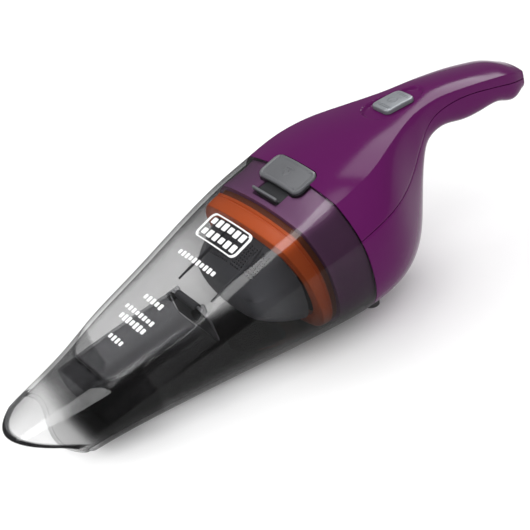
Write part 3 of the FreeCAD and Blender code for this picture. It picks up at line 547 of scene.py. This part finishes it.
def printed(x, y, half_x, half_y, corner, step, line=0.0):
    """Rounded plate of print on the window, or only its border when line is given: a nested-square grid laid on
    the arched panel, a tenth of a millimetre thick."""
    lines = np.linspace(-1, 1, 41)
    u, v, level = pad(half_x, half_y, corner, lines, lines)
    u, v = u + x, v + y
    share = smooth(0.0, 0.55, (u + 139.0) / 163.0)
    flat = hull(u, v / spline(HULL[:, 0], HULL[:, 4:5], u)[..., 0])
    flat[..., 2] += step * (1 - share)
    keep = None
    if line:
        middle = (level[:-1, :-1] + level[1:, 1:]) / 2
        keep = middle > 1 - line
    raised, lowered = flat.copy(), flat.copy()
    raised[..., 2] += 0.16
    lowered[..., 2] += 0.06
    return slab(raised, lowered, keep)


def window_print(step):
    """Plain stand-ins for the printed lines on the window: a rounded frame with two rows of blocks, a longer
    line of blocks behind its front edge and short lines further on."""
    rows = [(-25.2, 15.0, 6, 6.0, 2.6, 2.2), (-33.4, 15.2, 6, 6.1, 2.6, 2.2), (-52.0, 18.0, 10, 4.0, 1.9, 1.4),
            (-86.0, 10.0, 5, 4.2, 2.0, 1.4), (-97.0, 16.0, 8, 4.0, 1.7, 1.4), (-103.5, 13.0, 7, 4.1, 2.3, 1.5),
            (-117.0, 6.0, 4, 4.0, 1.9, 1.3)]
    shapes = [printed(-29.5, 0.0, 9.2, 21.5, 4.0, step, line=0.12)]
    for x, start, count, pitch, half_x, half_y in rows:
        for k in range(count):
            tall = half_x * (1.0 if k % 3 else 0.8)
            shapes.append(printed(x, start - pitch * k, tall, half_y, 0.3 * half_x, step))
    return joined(*shapes)


def smoke_and_shade_by_place(obj):
    """Point attribute of how dark the moulding looks: its even smoke tint behind the mouth, with painted shade and
    a painted bright patch laid on it. The floor is the darkest, painted shade for the shadowed ground under it;
    the nozzle ahead of the top panel and the rear are a little dark, painted shade; two dark lines of painted
    shade follow the mouth's edge and the panel's front; and the nozzle by the mouth is left clearest, a painted
    bright patch."""
    co = np.empty(len(obj.data.vertices) * 3)
    obj.data.vertices.foreach_get("co", co)
    moved = (co.reshape(-1, 3) - drop()) * 1000
    c, s = math.cos(PITCH), math.sin(PITCH)
    x, y = moved[:, 0] * c + moved[:, 2] * s, moved[:, 1]
    z = moved[:, 2] * c - moved[:, 0] * s
    rows = spline(HULL[:, 0], HULL[:, 1:], x)
    crease_z, wide, wide_z = rows[:, 4], rows[:, 5], rows[:, 6]
    # Zero ahead of x -166: the nozzle by the mouth is left clearest, a painted bright patch.
    behind = smooth(-166.0, -154.0, x)
    # Painted shade on the bowl's floor, darker towards the rear, for the shadowed ground seen through it.
    low = (z < wide_z) * smooth(0.62, 0.4, np.abs(y) / wide)
    floor = behind * low * (0.62 + 0.38 * smooth(-125.0, -85.0, x))
    panel = panel_front(np.minimum(np.abs(y) / rows[:, 3], 1))
    # Painted shade on the nozzle roof ahead of the top panel.
    nose_shade = 0.3 * behind * smooth(0.3, -0.3, x - panel)
    # Painted shade over the collar and towards the joint with the casing.
    rear = 0.16 * smooth(-12.0, 4.0, x) + 0.25 * smooth(-45.0, -15.0, x) * smooth(0.0, 4.0, crease_z - z)
    # A dark line of painted shade along the mouth's edge.
    rim = smooth(3.4, 2.2, x - mouth_front(y, z)) * (z > wide_z)
    # A dark line of painted shade along the top panel's front.
    panel_edge_shade = 0.8 * smooth(0.6, 0.3, np.abs(x - panel)) * (z > crease_z - 0.6)
    smoke_and_shade = obj.data.attributes.new("smoke_and_shade", "FLOAT", "POINT")
    # 0.09 behind the mouth is the moulding's own smoke tint; the masks laid over it are painted shade.
    smoke_and_shade.data.foreach_set("value", 0.09 * behind + np.maximum.reduce([floor, nose_shade + rear, rim, panel_edge_shade]))


def notch_shape(margin):
    """Upright rounded prism that the release button sits in."""
    lines = np.linspace(-1, 1, 25)
    x, y, _ = pad(BUTTON_HALF_X + margin, BUTTON_HALF_Y + margin, BUTTON_CORNER + margin, lines, lines)
    x = x + BUTTON_X
    return slab(np.stack([x, y, np.full_like(x, 125.0)], -1), np.stack([x, y, np.full_like(x, 94.6)], -1))


# ---------------------------------------------------------------- duct
def duct_ring(x, half, low, high, inset, around):
    """Air duct section: a superellipse of power 5 below and an arched roof above."""
    angle = np.linspace(0, 2 * math.pi, around, endpoint=False)
    c, s = np.cos(angle), np.sin(angle)
    power = np.where(s < 0, 5.0, 2.8)
    y = (half - inset) * np.sign(c) * np.abs(c) ** (2 / power)
    mid = mix(low, high, 0.45)
    z = np.where(s < 0, mid - (mid - low - inset) * np.abs(s) ** (2 / power),
                 mid + (high - 4.0 - mid - inset) * np.abs(s) ** (2 / power))
    return np.stack([np.full(around, x), y, z], -1)


def duct_shape(wall):
    """Duct wall: rings down the outside and back up the inside, closed by flat ends."""
    rows = np.array([(-150.0, 28.0, 50.0, 76.5), (-120.0, 27.0, 50.0, 78.0), (-68.0, 25.0, 50.0, 77.0)])
    stops = np.linspace(0, 1, 24)
    x = mix(-150.0, -68.0, stops)
    sizes = spline(rows[:, 0], rows[:, 1:], x)
    outside = [duct_ring(at, *size, 0.0, 96) for at, size in zip(x, sizes)]
    inside = [duct_ring(at, *size, wall, 96) for at, size in zip(x[::-1], sizes[::-1])]
    return loop_grid(np.array(outside + inside))


class VACUUM_OT_duct(bpy.types.Operator):
    """Air duct inside the bowl, with its flap"""
    bl_idname = "vacuum.duct"
    bl_label = "Duct and flap"

    def execute(self, context):
        look = finishes()
        shapes = [duct_shape(1.6)]
        for side in (-1, 1):
            shapes.append(block((-68.0, side * 14.0, 72.0), (4.5, 1.4, 3.0), 0.5))
        piece("duct_clear", joined(*shapes), "dust_bowl", ["inner_duct"], look["dark_clear"])
        flap = joined(block((-66.8, 0, 60.4), (0.75, 22.5, 8.0), 0.5),
                      block((-66.8, 0, 69.4), (0.75, 11.0, 2.0), 0.4),
                      tube((-66.7, 0, 73), (0, 1, 0), [1.06, 2.1, 2.4, 2.4, 2.1, 1.06],
                           [-11.2, -11.2, -10.9, 10.9, 11.2, 11.2], 32))
        piece("flap_leaf", flap, "flap", ["duct_flap"], look["black_plastic"], closed=False)
        return {"FINISHED"}


# ---------------------------------------------------------------- filter set
def band(profile, steps, lean=0.0):
    """Closed loop of wall swept round the hull: profile is a ring of (x, inset) pairs. With lean, the foremost
    edge moves back by that share of its depth below the top."""
    half = turns((0, 0.9, steps), (0.9, 1.1, 6), (1.1, 2, steps), (2, 3, steps))
    turn = np.concatenate([half, -half[-2:0:-1]])
    profile = np.array(profile, float)
    x, inset = profile[:, :1], profile[:, 1:]
    share = (x.max() - x) / (x.max() - x.min())
    height = hull(x, turn[None, :], inset)[..., 2]
    return loop_grid(hull(x + lean * share * (97.0 - height), turn[None, :], inset))


class VACUUM_OT_filter(bpy.types.Operator):
    """Coloured filter frame, its seal and the dark cup with fine holes"""
    bl_idname = "vacuum.filter"
    bl_label = "Filter set"

    def execute(self, context):
        s = context.scene.vacuum_filter
        look = finishes()
        ring = band([(-16, 12.5), (-16, 4.6), (-15.8, 4.2), (-15.4, 4.0), (-7.6, 4.0), (-7.2, 4.5), (-6.6, 4.5),
                     (-6.2, 4.0), (-4.9, 4.0), (-4.5, 4.2), (-4.4, 4.6), (-4.4, 12.5)], 20, 0.09)
        piece("filter_frame", ring, "filter_set", ["filter_ring"], look["ring_plastic"])
        seal = band([(-4.35, 12.6), (-4.35, 5.4), (-4.0, 5.0), (-2.4, 5.2), (-1.0, 4.8), (-0.5, 5.0),
                     (-0.45, 12.6)], 20)
        piece("seal_lip", seal, "filter_set", ["filter_seal"], look["seal_rubber"])
        prongs = [prong(side * 18.0) for side in (-1, 1)]
        cup = joined(cup_shape(s.hole_pitch * 1000, s.cup_wall * 1000), *prongs)
        piece("cup_mesh", cup, "filter_set", ["prefilter_cup"], look["cup_plastic"])
        return {"FINISHED"}


def prong(y):
    """Long thin fin beside the cup's roof: a row of upright sections, from the frame to a blunt tip ahead."""
    x = np.linspace(-60.0, -16.2, 24)
    high = mix(76.9, 87.4, (x + 60.0) / 43.8)
    low = high - 1.0 - 1.4 * smooth(-60.0, -36.0, x)
    corners = ((-1, low), (1, low), (1, high - 0.3), (0.5, high), (-0.5, high), (-1, high - 0.3))
    rings = [np.stack([x, np.full_like(x, y + side * 0.6), height], -1) for side, height in corners]
    rings = np.stack(rings, 1)
    points, cells = loop_grid(rings, capped=True)
    last = (len(x) - 1) * 6
    ends = [(0, 3, 4, 5), (0, 1, 2, 3), (last + 5, last + 4, last + 3, last), (last + 3, last + 2, last + 1, last)]
    return points, np.concatenate([cells, np.array(ends)])


def cup_shape(pitch, wall):
    """Dark cup: rows of the hull drawn further and further in towards the front, then a flat front closing on
    its middle. Cells at odd places of a fine square grid on its roof are left open as holes."""
    rows_x = np.arange(-15.0, -37.0, -pitch / 2)
    knots = np.array([-42.0, -40.0, -36.0, -25.0, -15.0])
    depth = spline(knots, np.array([[29.0], [24.8], [20.5], [15.0], [12.0]]), rows_x)[:, 0]
    columns = turns((-3, -2, 16), (-2, -1, 14), (-1, 1, int(84 / pitch)), (1, 2, 14), (2, 3, 16))
    front_x = np.array([-38.0, -39.2, -40.3, -41.2, -41.8, -42.0])
    front_depth = np.array([21.6, 22.9, 24.3, 25.8, 27.4, 29.0])
    along = np.concatenate([rows_x, front_x])
    inset = np.concatenate([depth, front_depth])
    outer = hull(along[:, None], columns[None, :], inset[:, None])
    inner = hull(np.minimum(along + wall, -15.0)[:, None], columns[None, :], inset[:, None] + wall)
    shrink = np.linspace(1, 0, 12)[1:, None, None]
    hub_out = np.array([-42.0, 0.0, 58.0])
    hub_in = np.array([-42.0 + wall, 0.0, 58.0])
    outer = np.concatenate([outer, hub_out + (outer[len(along) - 1] - hub_out) * shrink])
    inner = np.concatenate([inner, hub_in + (inner[len(along) - 1] - hub_in) * shrink])
    keep = np.ones((outer.shape[0] - 1, outer.shape[1] - 1), bool)
    row = np.arange(keep.shape[0])[:, None]
    middle = (columns[:-1] + columns[1:]) / 2
    column = np.cumsum(np.abs(middle) < 1)[None, :]
    across = (np.abs(middle) < 0.86) & (np.abs(middle) > 0.06)
    roof = across[None, :] & (row > 3) & (row < len(rows_x) - 3)
    keep[roof & (row % 2 == 1) & (column % 2 == 1)] = False
    return slab(outer, inner, keep)


# ---------------------------------------------------------------- casing
def seam_turn(along):
    """Turn at which the hull meets the parting line, for each place along it, from a fine table of heights."""
    table = np.linspace(1.0, 2.6, 400)
    grid = hull(along[:, None], table[None, :])
    gap = grid[..., 2] - spline(SEAM[:, 0], SEAM[:, 1:], np.clip(grid[..., 0], 18, 210))[..., 0]
    first = np.argmax(gap < 0, axis=1)
    first = np.clip(first, 1, len(table) - 1)
    rows = np.arange(len(along))
    a, b = gap[rows, first - 1], gap[rows, first]
    return table[first - 1] + (table[first] - table[first - 1]) * np.clip(a / (a - b), 0, 1)


def casing_rows():
    """Stops along the casing from the joint to the handle's end."""
    return turns((25.0, 40, 12), (40, 84, 32), (84, 134, 60), (134, 190, 30), (190, 201, 12))


def capped(grid, reach, centre):
    """Adds rings that draw the last section in along an ellipse and close it on a point reach further on."""
    angle = np.linspace(0, math.pi / 2, 10)[1:, None, None]
    last = grid[-1]
    direction = np.array([0.93, 0.0, -0.36])
    extra = centre + (last - centre) * np.cos(angle) + direction * reach * np.sin(angle)
    return np.concatenate([grid, extra])


def shell_shape(upper, wall, gap, bevel):
    """Half of the casing: the hull on one side of the parting line, its long edges turned in with a small
    round, and the handle's end closed by an ellipse."""
    along = casing_rows()
    edge = seam_turn(along)
    size = np.hypot(*(hull(along, edge + 0.02) - hull(along, edge))[:, [1, 2]].T) / 0.02
    inner_edge = edge - (gap / 2 + bevel) / size if upper else edge + (gap / 2 + bevel) / size
    tight = (edge - gap / 2 / size) if upper else (edge + gap / 2 / size)
    if upper:
        share = turns((0, 0.9, 24), (0.9, 1.1, 10))
        fixed = share[share <= 1.1]
        rest = np.linspace(0, 1, 18)[1:, None]
        turn = np.concatenate([np.broadcast_to(fixed[:, None], (len(fixed), len(along))),
                               1.1 + (inner_edge - 1.1)[None, :] * rest], 0)
    else:
        rest = np.linspace(0, 1, 40)[:, None]
        turn = 3.0 + (inner_edge - 3.0)[None, :] * rest
    turn = turn.T
    arc = np.linspace(0, math.pi / 2, 4)[1:]
    extra = [mix(inner_edge, tight, math.sin(t)) for t in arc] + [tight, tight]
    deep = [bevel * (1 - math.cos(t)) for t in arc] + [0.9, wall]
    turn = np.concatenate([turn, np.array(extra).T], 1)
    depth = np.concatenate([np.zeros(turn.shape[1] - len(deep)), deep])
    if upper:
        turn = np.concatenate([-turn[:, :0:-1], turn], 1)
        depth = np.concatenate([depth[:0:-1], depth])
    else:
        turn = np.concatenate([turn, 6 - turn[:, -2::-1]], 1)
        depth = np.concatenate([depth, depth[-2::-1]])
    outer = hull(along[:, None], turn, depth[None, :])
    deep_in = np.maximum(depth, wall)
    inner = hull(along[:, None], turn, deep_in[None, :] * np.ones_like(along)[:, None])
    centre = np.array([199.5, 0.0, 67.5])
    return capped(outer, 5.5, centre), capped(inner, 3.4, centre), turn


class VACUUM_OT_casing(bpy.types.Operator):
    """Two halves of the coloured casing"""
    bl_idname = "vacuum.casing"
    bl_label = "Casing"

    def execute(self, context):
        s = context.scene.vacuum_casing
        look = finishes()
        outer, inner, turn = shell_shape(True, s.wall * 1000, s.gap * 1000, s.bevel * 1000)
        x, y = outer[..., 0], outer[..., 1]
        dip = recess_depth(x, y, s.recess * 1000)
        top = np.abs(turn) < 1.02
        top = np.concatenate([top, np.repeat(top[-1:], outer.shape[0] - top.shape[0], 0)])
        outer[..., 2] -= np.where(top, dip, 0)
        inner[..., 2] -= np.where(top, dip, 0)
        upper = piece("casing_upper", slab(outer, inner), "casing", ["top_shell"],
                      look["casing_plastic"], 20.0)
        carve(upper, notch_shape(0.6), 20.0)
        outer, inner, _ = shell_shape(False, s.wall * 1000, s.gap * 1000, s.bevel * 1000)
        lower = piece("casing_lower", slab(outer, inner), "casing", ["lower_shell"],
                      look["casing_plastic"])
        reach = SOCKET_TO - SOCKET_FROM
        socket = tube((SOCKET_FROM, 0, SOCKET_Z), (1, 0, 0), [0, SOCKET_RADIUS, SOCKET_RADIUS, 0],
                      [0, 0, reach, reach])
        vents = [block((VENT_X + VENT_PITCH * step, side * VENT_Y, 8.0), (1.3, 8.0, 14.0), 1.2)
                 for side in (-1, 1) for step in range(VENT_COUNT)]
        carve(lower, joined(socket, *vents))
        return {"FINISHED"}


def recess_depth(x, y, depth):
    """Depth of the thumb switch's tray: a drop shape, wide round the switch and drawn out towards the handle."""
    centre = 105.0
    along = x - centre
    reach = np.where(along < 0, 17.0, 26.0)
    width = np.where(along < 0, 12.0, 12.0 - 3.5 * smooth(0, 26, along))
    r = (np.abs(along / reach) ** 2.6 + np.abs(y / width) ** 2.6) ** (1 / 2.6)
    return depth * (1 - smooth(0.93, 1.07, r))


# ---------------------------------------------------------------- button and switch
def even_lines(count, edge, share):
    """Grid lines from -1 to 1 with more of them near the ends."""
    middle = np.linspace(-1 + share, 1 - share, count)
    close = share * (1 - (1 - np.linspace(0, 1, edge + 1)[1:]) ** 2)
    return np.concatenate([-(1 - share + close)[::-1], middle, 1 - share + close])


def edge_distance(x, y, level, half_x, half_y):
    """How far in from the outline each point of a pad lies, measured towards its nearer pair of sides."""
    return np.where(np.abs(x) / half_x > np.abs(y) / half_y, half_x, half_y) * (1 - level)


def edge_round(distance, radius):
    """Drop of a quarter-round edge: radius less the root of radius squared less (radius - distance) squared."""
    return radius - np.sqrt(np.maximum(radius ** 2 - np.maximum(radius - distance, 0) ** 2, 0))


def arrow(x, y, size):
    """1 on a plain arrow with a bar behind it, 0 off it."""
    head = (x > -size) & (x < 0.1 * size) & (np.abs(y) < (x + size) * 0.9)
    shaft = (x >= 0.1 * size) & (x < 0.6 * size) & (np.abs(y) < 0.32 * size)
    bar = (x > 0.8 * size) & (x < 1.05 * size) & (np.abs(y) < size)
    return (head | shaft | bar).astype(float)


class VACUUM_OT_controls(bpy.types.Operator):
    """Release button and power switch"""
    bl_idname = "vacuum.controls"
    bl_label = "Button and switch"

    def execute(self, context):
        look = finishes()
        s = context.scene.vacuum_controls
        relief = s.relief * 1000
        piece("button_cap", button_shape(relief), "button", ["release_button"],
              look["button_grey"], closed=False)
        piece("switch_cap", switch_shape(relief), "switch", ["power_switch"],
              look["switch_silver"])
        return {"FINISHED"}


def button_shape(relief):
    """Release button: a pad that follows the hull's top, with round edges, a shallow dish and a raised arrow,
    and three rounded boxes for its tongue, the hook at the tongue's end and the root."""
    x, y, level = pad(BUTTON_HALF_X, BUTTON_HALF_Y, BUTTON_CORNER, even_lines(45, 8, 0.24),
                      even_lines(95, 8, 0.113))
    edge = edge_distance(x, y, level, BUTTON_HALF_X, BUTTON_HALF_Y)
    top = hull(x + BUTTON_X, y / 44.6)[..., 2] + 1.0
    z = top - edge_round(edge, 1.1) - 0.5 * smooth(1.3, 2.8, edge) + relief * arrow(x, y, 3.6)
    cap = slab(np.stack([x + BUTTON_X, y, z], -1), np.stack([x + BUTTON_X, y, top - 2.8], -1))
    tongue = block((12.0, 0, 101.1), (6.0, 11.8, 0.9), 0.4)
    hook = block((6.8, 0, 99.9), (0.8, 11.8, 1.3), 0.4)
    root = block((18.0, 0, 101.2), (2.8, 11.8, 2.4), 0.4)
    return joined(cap, tongue, hook, root)


def switch_shape(relief):
    """Power switch: a crowned pad with round edges, a raised power sign and two grooves at each end, laid on the
    slope of its tray."""
    x, y, level = pad(SWITCH_HALF_X, SWITCH_HALF_Y, SWITCH_CORNER, even_lines(61, 6, 0.1),
                      even_lines(45, 6, 0.14))
    edge = edge_distance(x, y, level, SWITCH_HALF_X, SWITCH_HALF_Y)
    crown = 2.1 - 0.004 * x ** 2 - 0.006 * y ** 2
    ring = (np.abs(np.hypot(x, y) - 2.9) < 0.38) & ~((x < 0) & (np.abs(y) < 1.0))
    bar = (np.abs(y) < 0.38) & (x < -0.8) & (x > -3.9)
    grooves = (np.abs(np.abs(x) - 8.4) < 0.35) | (np.abs(np.abs(x) - 7.0) < 0.35)
    z = crown - edge_round(edge, 0.8) + relief * (ring | bar) - 0.35 * (grooves & (np.abs(y) < 5.6))
    return slab(laid(x, y, z), laid(x, y, np.full_like(x, -1.2)))


def laid(x, y, height):
    """Points of the switch's own flat frame, turned to the slope of its tray and moved to its place."""
    c, s = math.cos(SWITCH_SLOPE), math.sin(SWITCH_SLOPE)
    ahead = 3.0
    ground = 105.0 - math.tan(SWITCH_SLOPE) * ahead
    return np.stack([106.0 + ahead + x * c + height * s, y, ground - x * s + height * c], -1)


# ---------------------------------------------------------------- the CAD pieces that stay
class VACUUM_OT_frame(bpy.types.Operator):
    """Finishes for the CAD pieces that are shown as they are"""
    bl_idname = "vacuum.frame"
    bl_label = "Frame finishes"

    def execute(self, context):
        look = finishes()
        for entry in frame["record"]["materials"]:
            for name in entry.get("nodes", []):
                node = frame["nodes"][name]
                if not node.material_slots:
                    node.data.materials.append(None)
                for slot in node.material_slots:
                    slot.link = "OBJECT"
                    slot.material = look[entry["slot"]]
        return {"FINISHED"}


# ---------------------------------------------------------------- stage
class VACUUM_OT_stage(bpy.types.Operator):
    """Floor, lights and camera"""
    bl_idname = "vacuum.stage"
    bl_label = "Stage"

    def execute(self, context):
        s = context.scene.vacuum_stage
        size = s.floor_size / 2
        mesh = bpy.data.meshes.new("floor")
        corners = [(-size, -size, 0), (size, -size, 0), (size, size, 0), (-size, size, 0)]
        mesh.from_pydata(corners, [], [(0, 1, 2, 3)])
        floor = bpy.data.objects.new("floor", mesh)
        context.scene.collection.objects.link(floor)
        paint = shader("floor_paint", (0.93, 0.93, 0.93, 1.0), 0.9, grain=0.0, spread=0.005, specular=0.1)
        mesh.materials.append(paint)
        world = bpy.data.worlds.new("studio")
        world.use_nodes = True
        world.node_tree.nodes["Background"].inputs["Color"].default_value = (1, 1, 1, 1)
        world.node_tree.nodes["Background"].inputs["Strength"].default_value = s.ambient
        context.scene.world = world
        for name, spot, size, turn in (("casing_strip", (1.4, 0.92, 1.5), (2.4, 0.56), 25.0),
                                       ("bowl_strip", (-0.29, 0.62, 1.5), (0.9, 0.36), 135.0)):
            strip = area(name, spot, (spot[0], spot[1], 0), *size, s.key * math.pi * size[0] * size[1])
            strip.rotation_euler = (0, 0, math.radians(turn))
            strip.visible_diffuse = False
        for name, spot, share in (("fill", (-0.5, -1.4, 2.1), 0.6), ("far_fill", (-0.7, 1.3, 2.2), 0.4)):
            fill = area(name, spot, (0, 0, 0), 3.2, 3.2, s.fill * share)
            fill.visible_glossy = False
        camera = bpy.data.cameras.new("camera")
        camera.lens = s.lens
        camera.sensor_width = 36.0
        camera.clip_start = 0.05
        view = bpy.data.objects.new("camera", camera)
        context.scene.collection.objects.link(view)
        right, up = Vector((0.8092, -0.5698, -0.1435)), Vector((0.4102, 0.3728, 0.8324))
        back = right.cross(up).normalized()
        turn = Matrix((right, up, back)).transposed().to_4x4()
        view.matrix_world = Matrix.Translation(Vector((-0.38933, -0.66081, 0.53040))) @ turn
        context.scene.camera = view
        context.scene.view_settings.view_transform = "Standard"
        return {"FINISHED"}


def area(name, spot, aim, width, height, power):
    """Soft rectangular lamp at spot, aimed at a point."""
    lamp = bpy.data.lights.new(name, "AREA")
    lamp.shape, lamp.size, lamp.size_y, lamp.energy = "RECTANGLE", width, height, power
    obj = bpy.data.objects.new(name, lamp)
    bpy.context.scene.collection.objects.link(obj)
    obj.location = spot
    obj.rotation_euler = (Vector(aim) - Vector(spot)).to_track_quat("-Z", "Y").to_euler()
    return obj


# ---------------------------------------------------------------- settings
def length(name, default, description):
    return bpy.props.FloatProperty(name=name, description=description, default=default, min=0.0, unit="LENGTH",
                                   subtype="DISTANCE", precision=5)


def colour(name, default, description):
    return bpy.props.FloatVectorProperty(name=name, description=description, default=default, size=4, min=0.0,
                                         max=1.0, subtype="COLOR")


class BowlSettings(bpy.types.PropertyGroup):
    wall: length("Wall", 0.0022, "Thickness of the bowl's wall")
    step: length("Panel step", 0.0005, "Height of the step at the front of the top panel")
    rounding: length("Lip rounding", 0.0009, "Radius of the mouth's edge")


class FilterSettings(bpy.types.PropertyGroup):
    hole_pitch: length("Hole pitch", 0.0017, "Distance between the fine holes of the cup")
    cup_wall: length("Cup wall", 0.0014, "Thickness of the cup")


class CasingSettings(bpy.types.PropertyGroup):
    wall: length("Wall", 0.0024, "Thickness of the casing")
    gap: length("Parting gap", 0.0004, "Width of the line between the two halves")
    bevel: length("Edge round", 0.0004, "Radius of the edges along the parting line")
    recess: length("Switch tray", 0.0021, "Depth of the tray that the power switch slides in")


class ControlSettings(bpy.types.PropertyGroup):
    relief: length("Relief", 0.00035, "Height of the raised marks")


class ColourSettings(bpy.types.PropertyGroup):
    casing: colour("Casing", srgb(83, 22, 77), "Casing plastic")
    ring: colour("Filter frame", srgb(214, 92, 34), "Filter frame plastic")
    button: colour("Button", srgb(88, 89, 92), "Release button plastic")
    switch: colour("Switch", srgb(126, 129, 133), "Power switch plastic")


class StageSettings(bpy.types.PropertyGroup):
    floor_size: length("Floor", 12.0, "Side of the floor")
    lens: bpy.props.FloatProperty(name="Lens", description="Focal length of the camera", default=99.92,
                                  unit="CAMERA")
    ambient: bpy.props.FloatProperty(name="Ambient", description="Strength of the even light from all sides",
                                     default=0.34)
    key: bpy.props.FloatProperty(name="Strips", description="Brightness of the two mirrored strip lamps",
                                 default=10.0)
    fill: bpy.props.FloatProperty(name="Fill", description="Power of the two wide lamps", default=120.0,
                                  unit="POWER")


class VACUUM_PT_panel(bpy.types.Panel):
    bl_label = "Vacuum"
    bl_space_type = "VIEW_3D"
    bl_region_type = "UI"
    bl_category = "Vacuum"

    def draw(self, context):
        for group in ("vacuum_bowl", "vacuum_filter", "vacuum_casing", "vacuum_controls", "vacuum_colours",
                      "vacuum_stage"):
            box = self.layout.box()
            settings = getattr(context.scene, group)
            for name in settings.__annotations__:
                box.prop(settings, name)
        for operator in OPERATORS:
            self.layout.operator(operator.bl_idname)


SETTINGS = {"vacuum_bowl": BowlSettings, "vacuum_filter": FilterSettings, "vacuum_casing": CasingSettings,
            "vacuum_controls": ControlSettings, "vacuum_colours": ColourSettings, "vacuum_stage": StageSettings}
OPERATORS = (VACUUM_OT_frame, VACUUM_OT_bowl, VACUUM_OT_duct, VACUUM_OT_filter, VACUUM_OT_casing,
             VACUUM_OT_controls, VACUUM_OT_stage)


def register():
    for name, group in SETTINGS.items():
        bpy.utils.register_class(group)
        setattr(bpy.types.Scene, name, bpy.props.PointerProperty(type=group))
    for cls in OPERATORS + (VACUUM_PT_panel,):
        bpy.utils.register_class(cls)


def unregister():
    for cls in (VACUUM_PT_panel,) + OPERATORS[::-1]:
        bpy.utils.unregister_class(cls)
    for name, group in SETTINGS.items():
        delattr(bpy.types.Scene, name)
        bpy.utils.unregister_class(group)


def main():
    register()
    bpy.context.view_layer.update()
    bpy.ops.vacuum.frame()
    bpy.ops.vacuum.bowl()
    bpy.ops.vacuum.duct()
    bpy.ops.vacuum.filter()
    bpy.ops.vacuum.casing()
    bpy.ops.vacuum.controls()
    bpy.ops.vacuum.stage()


if __name__ == "__main__":
    main()
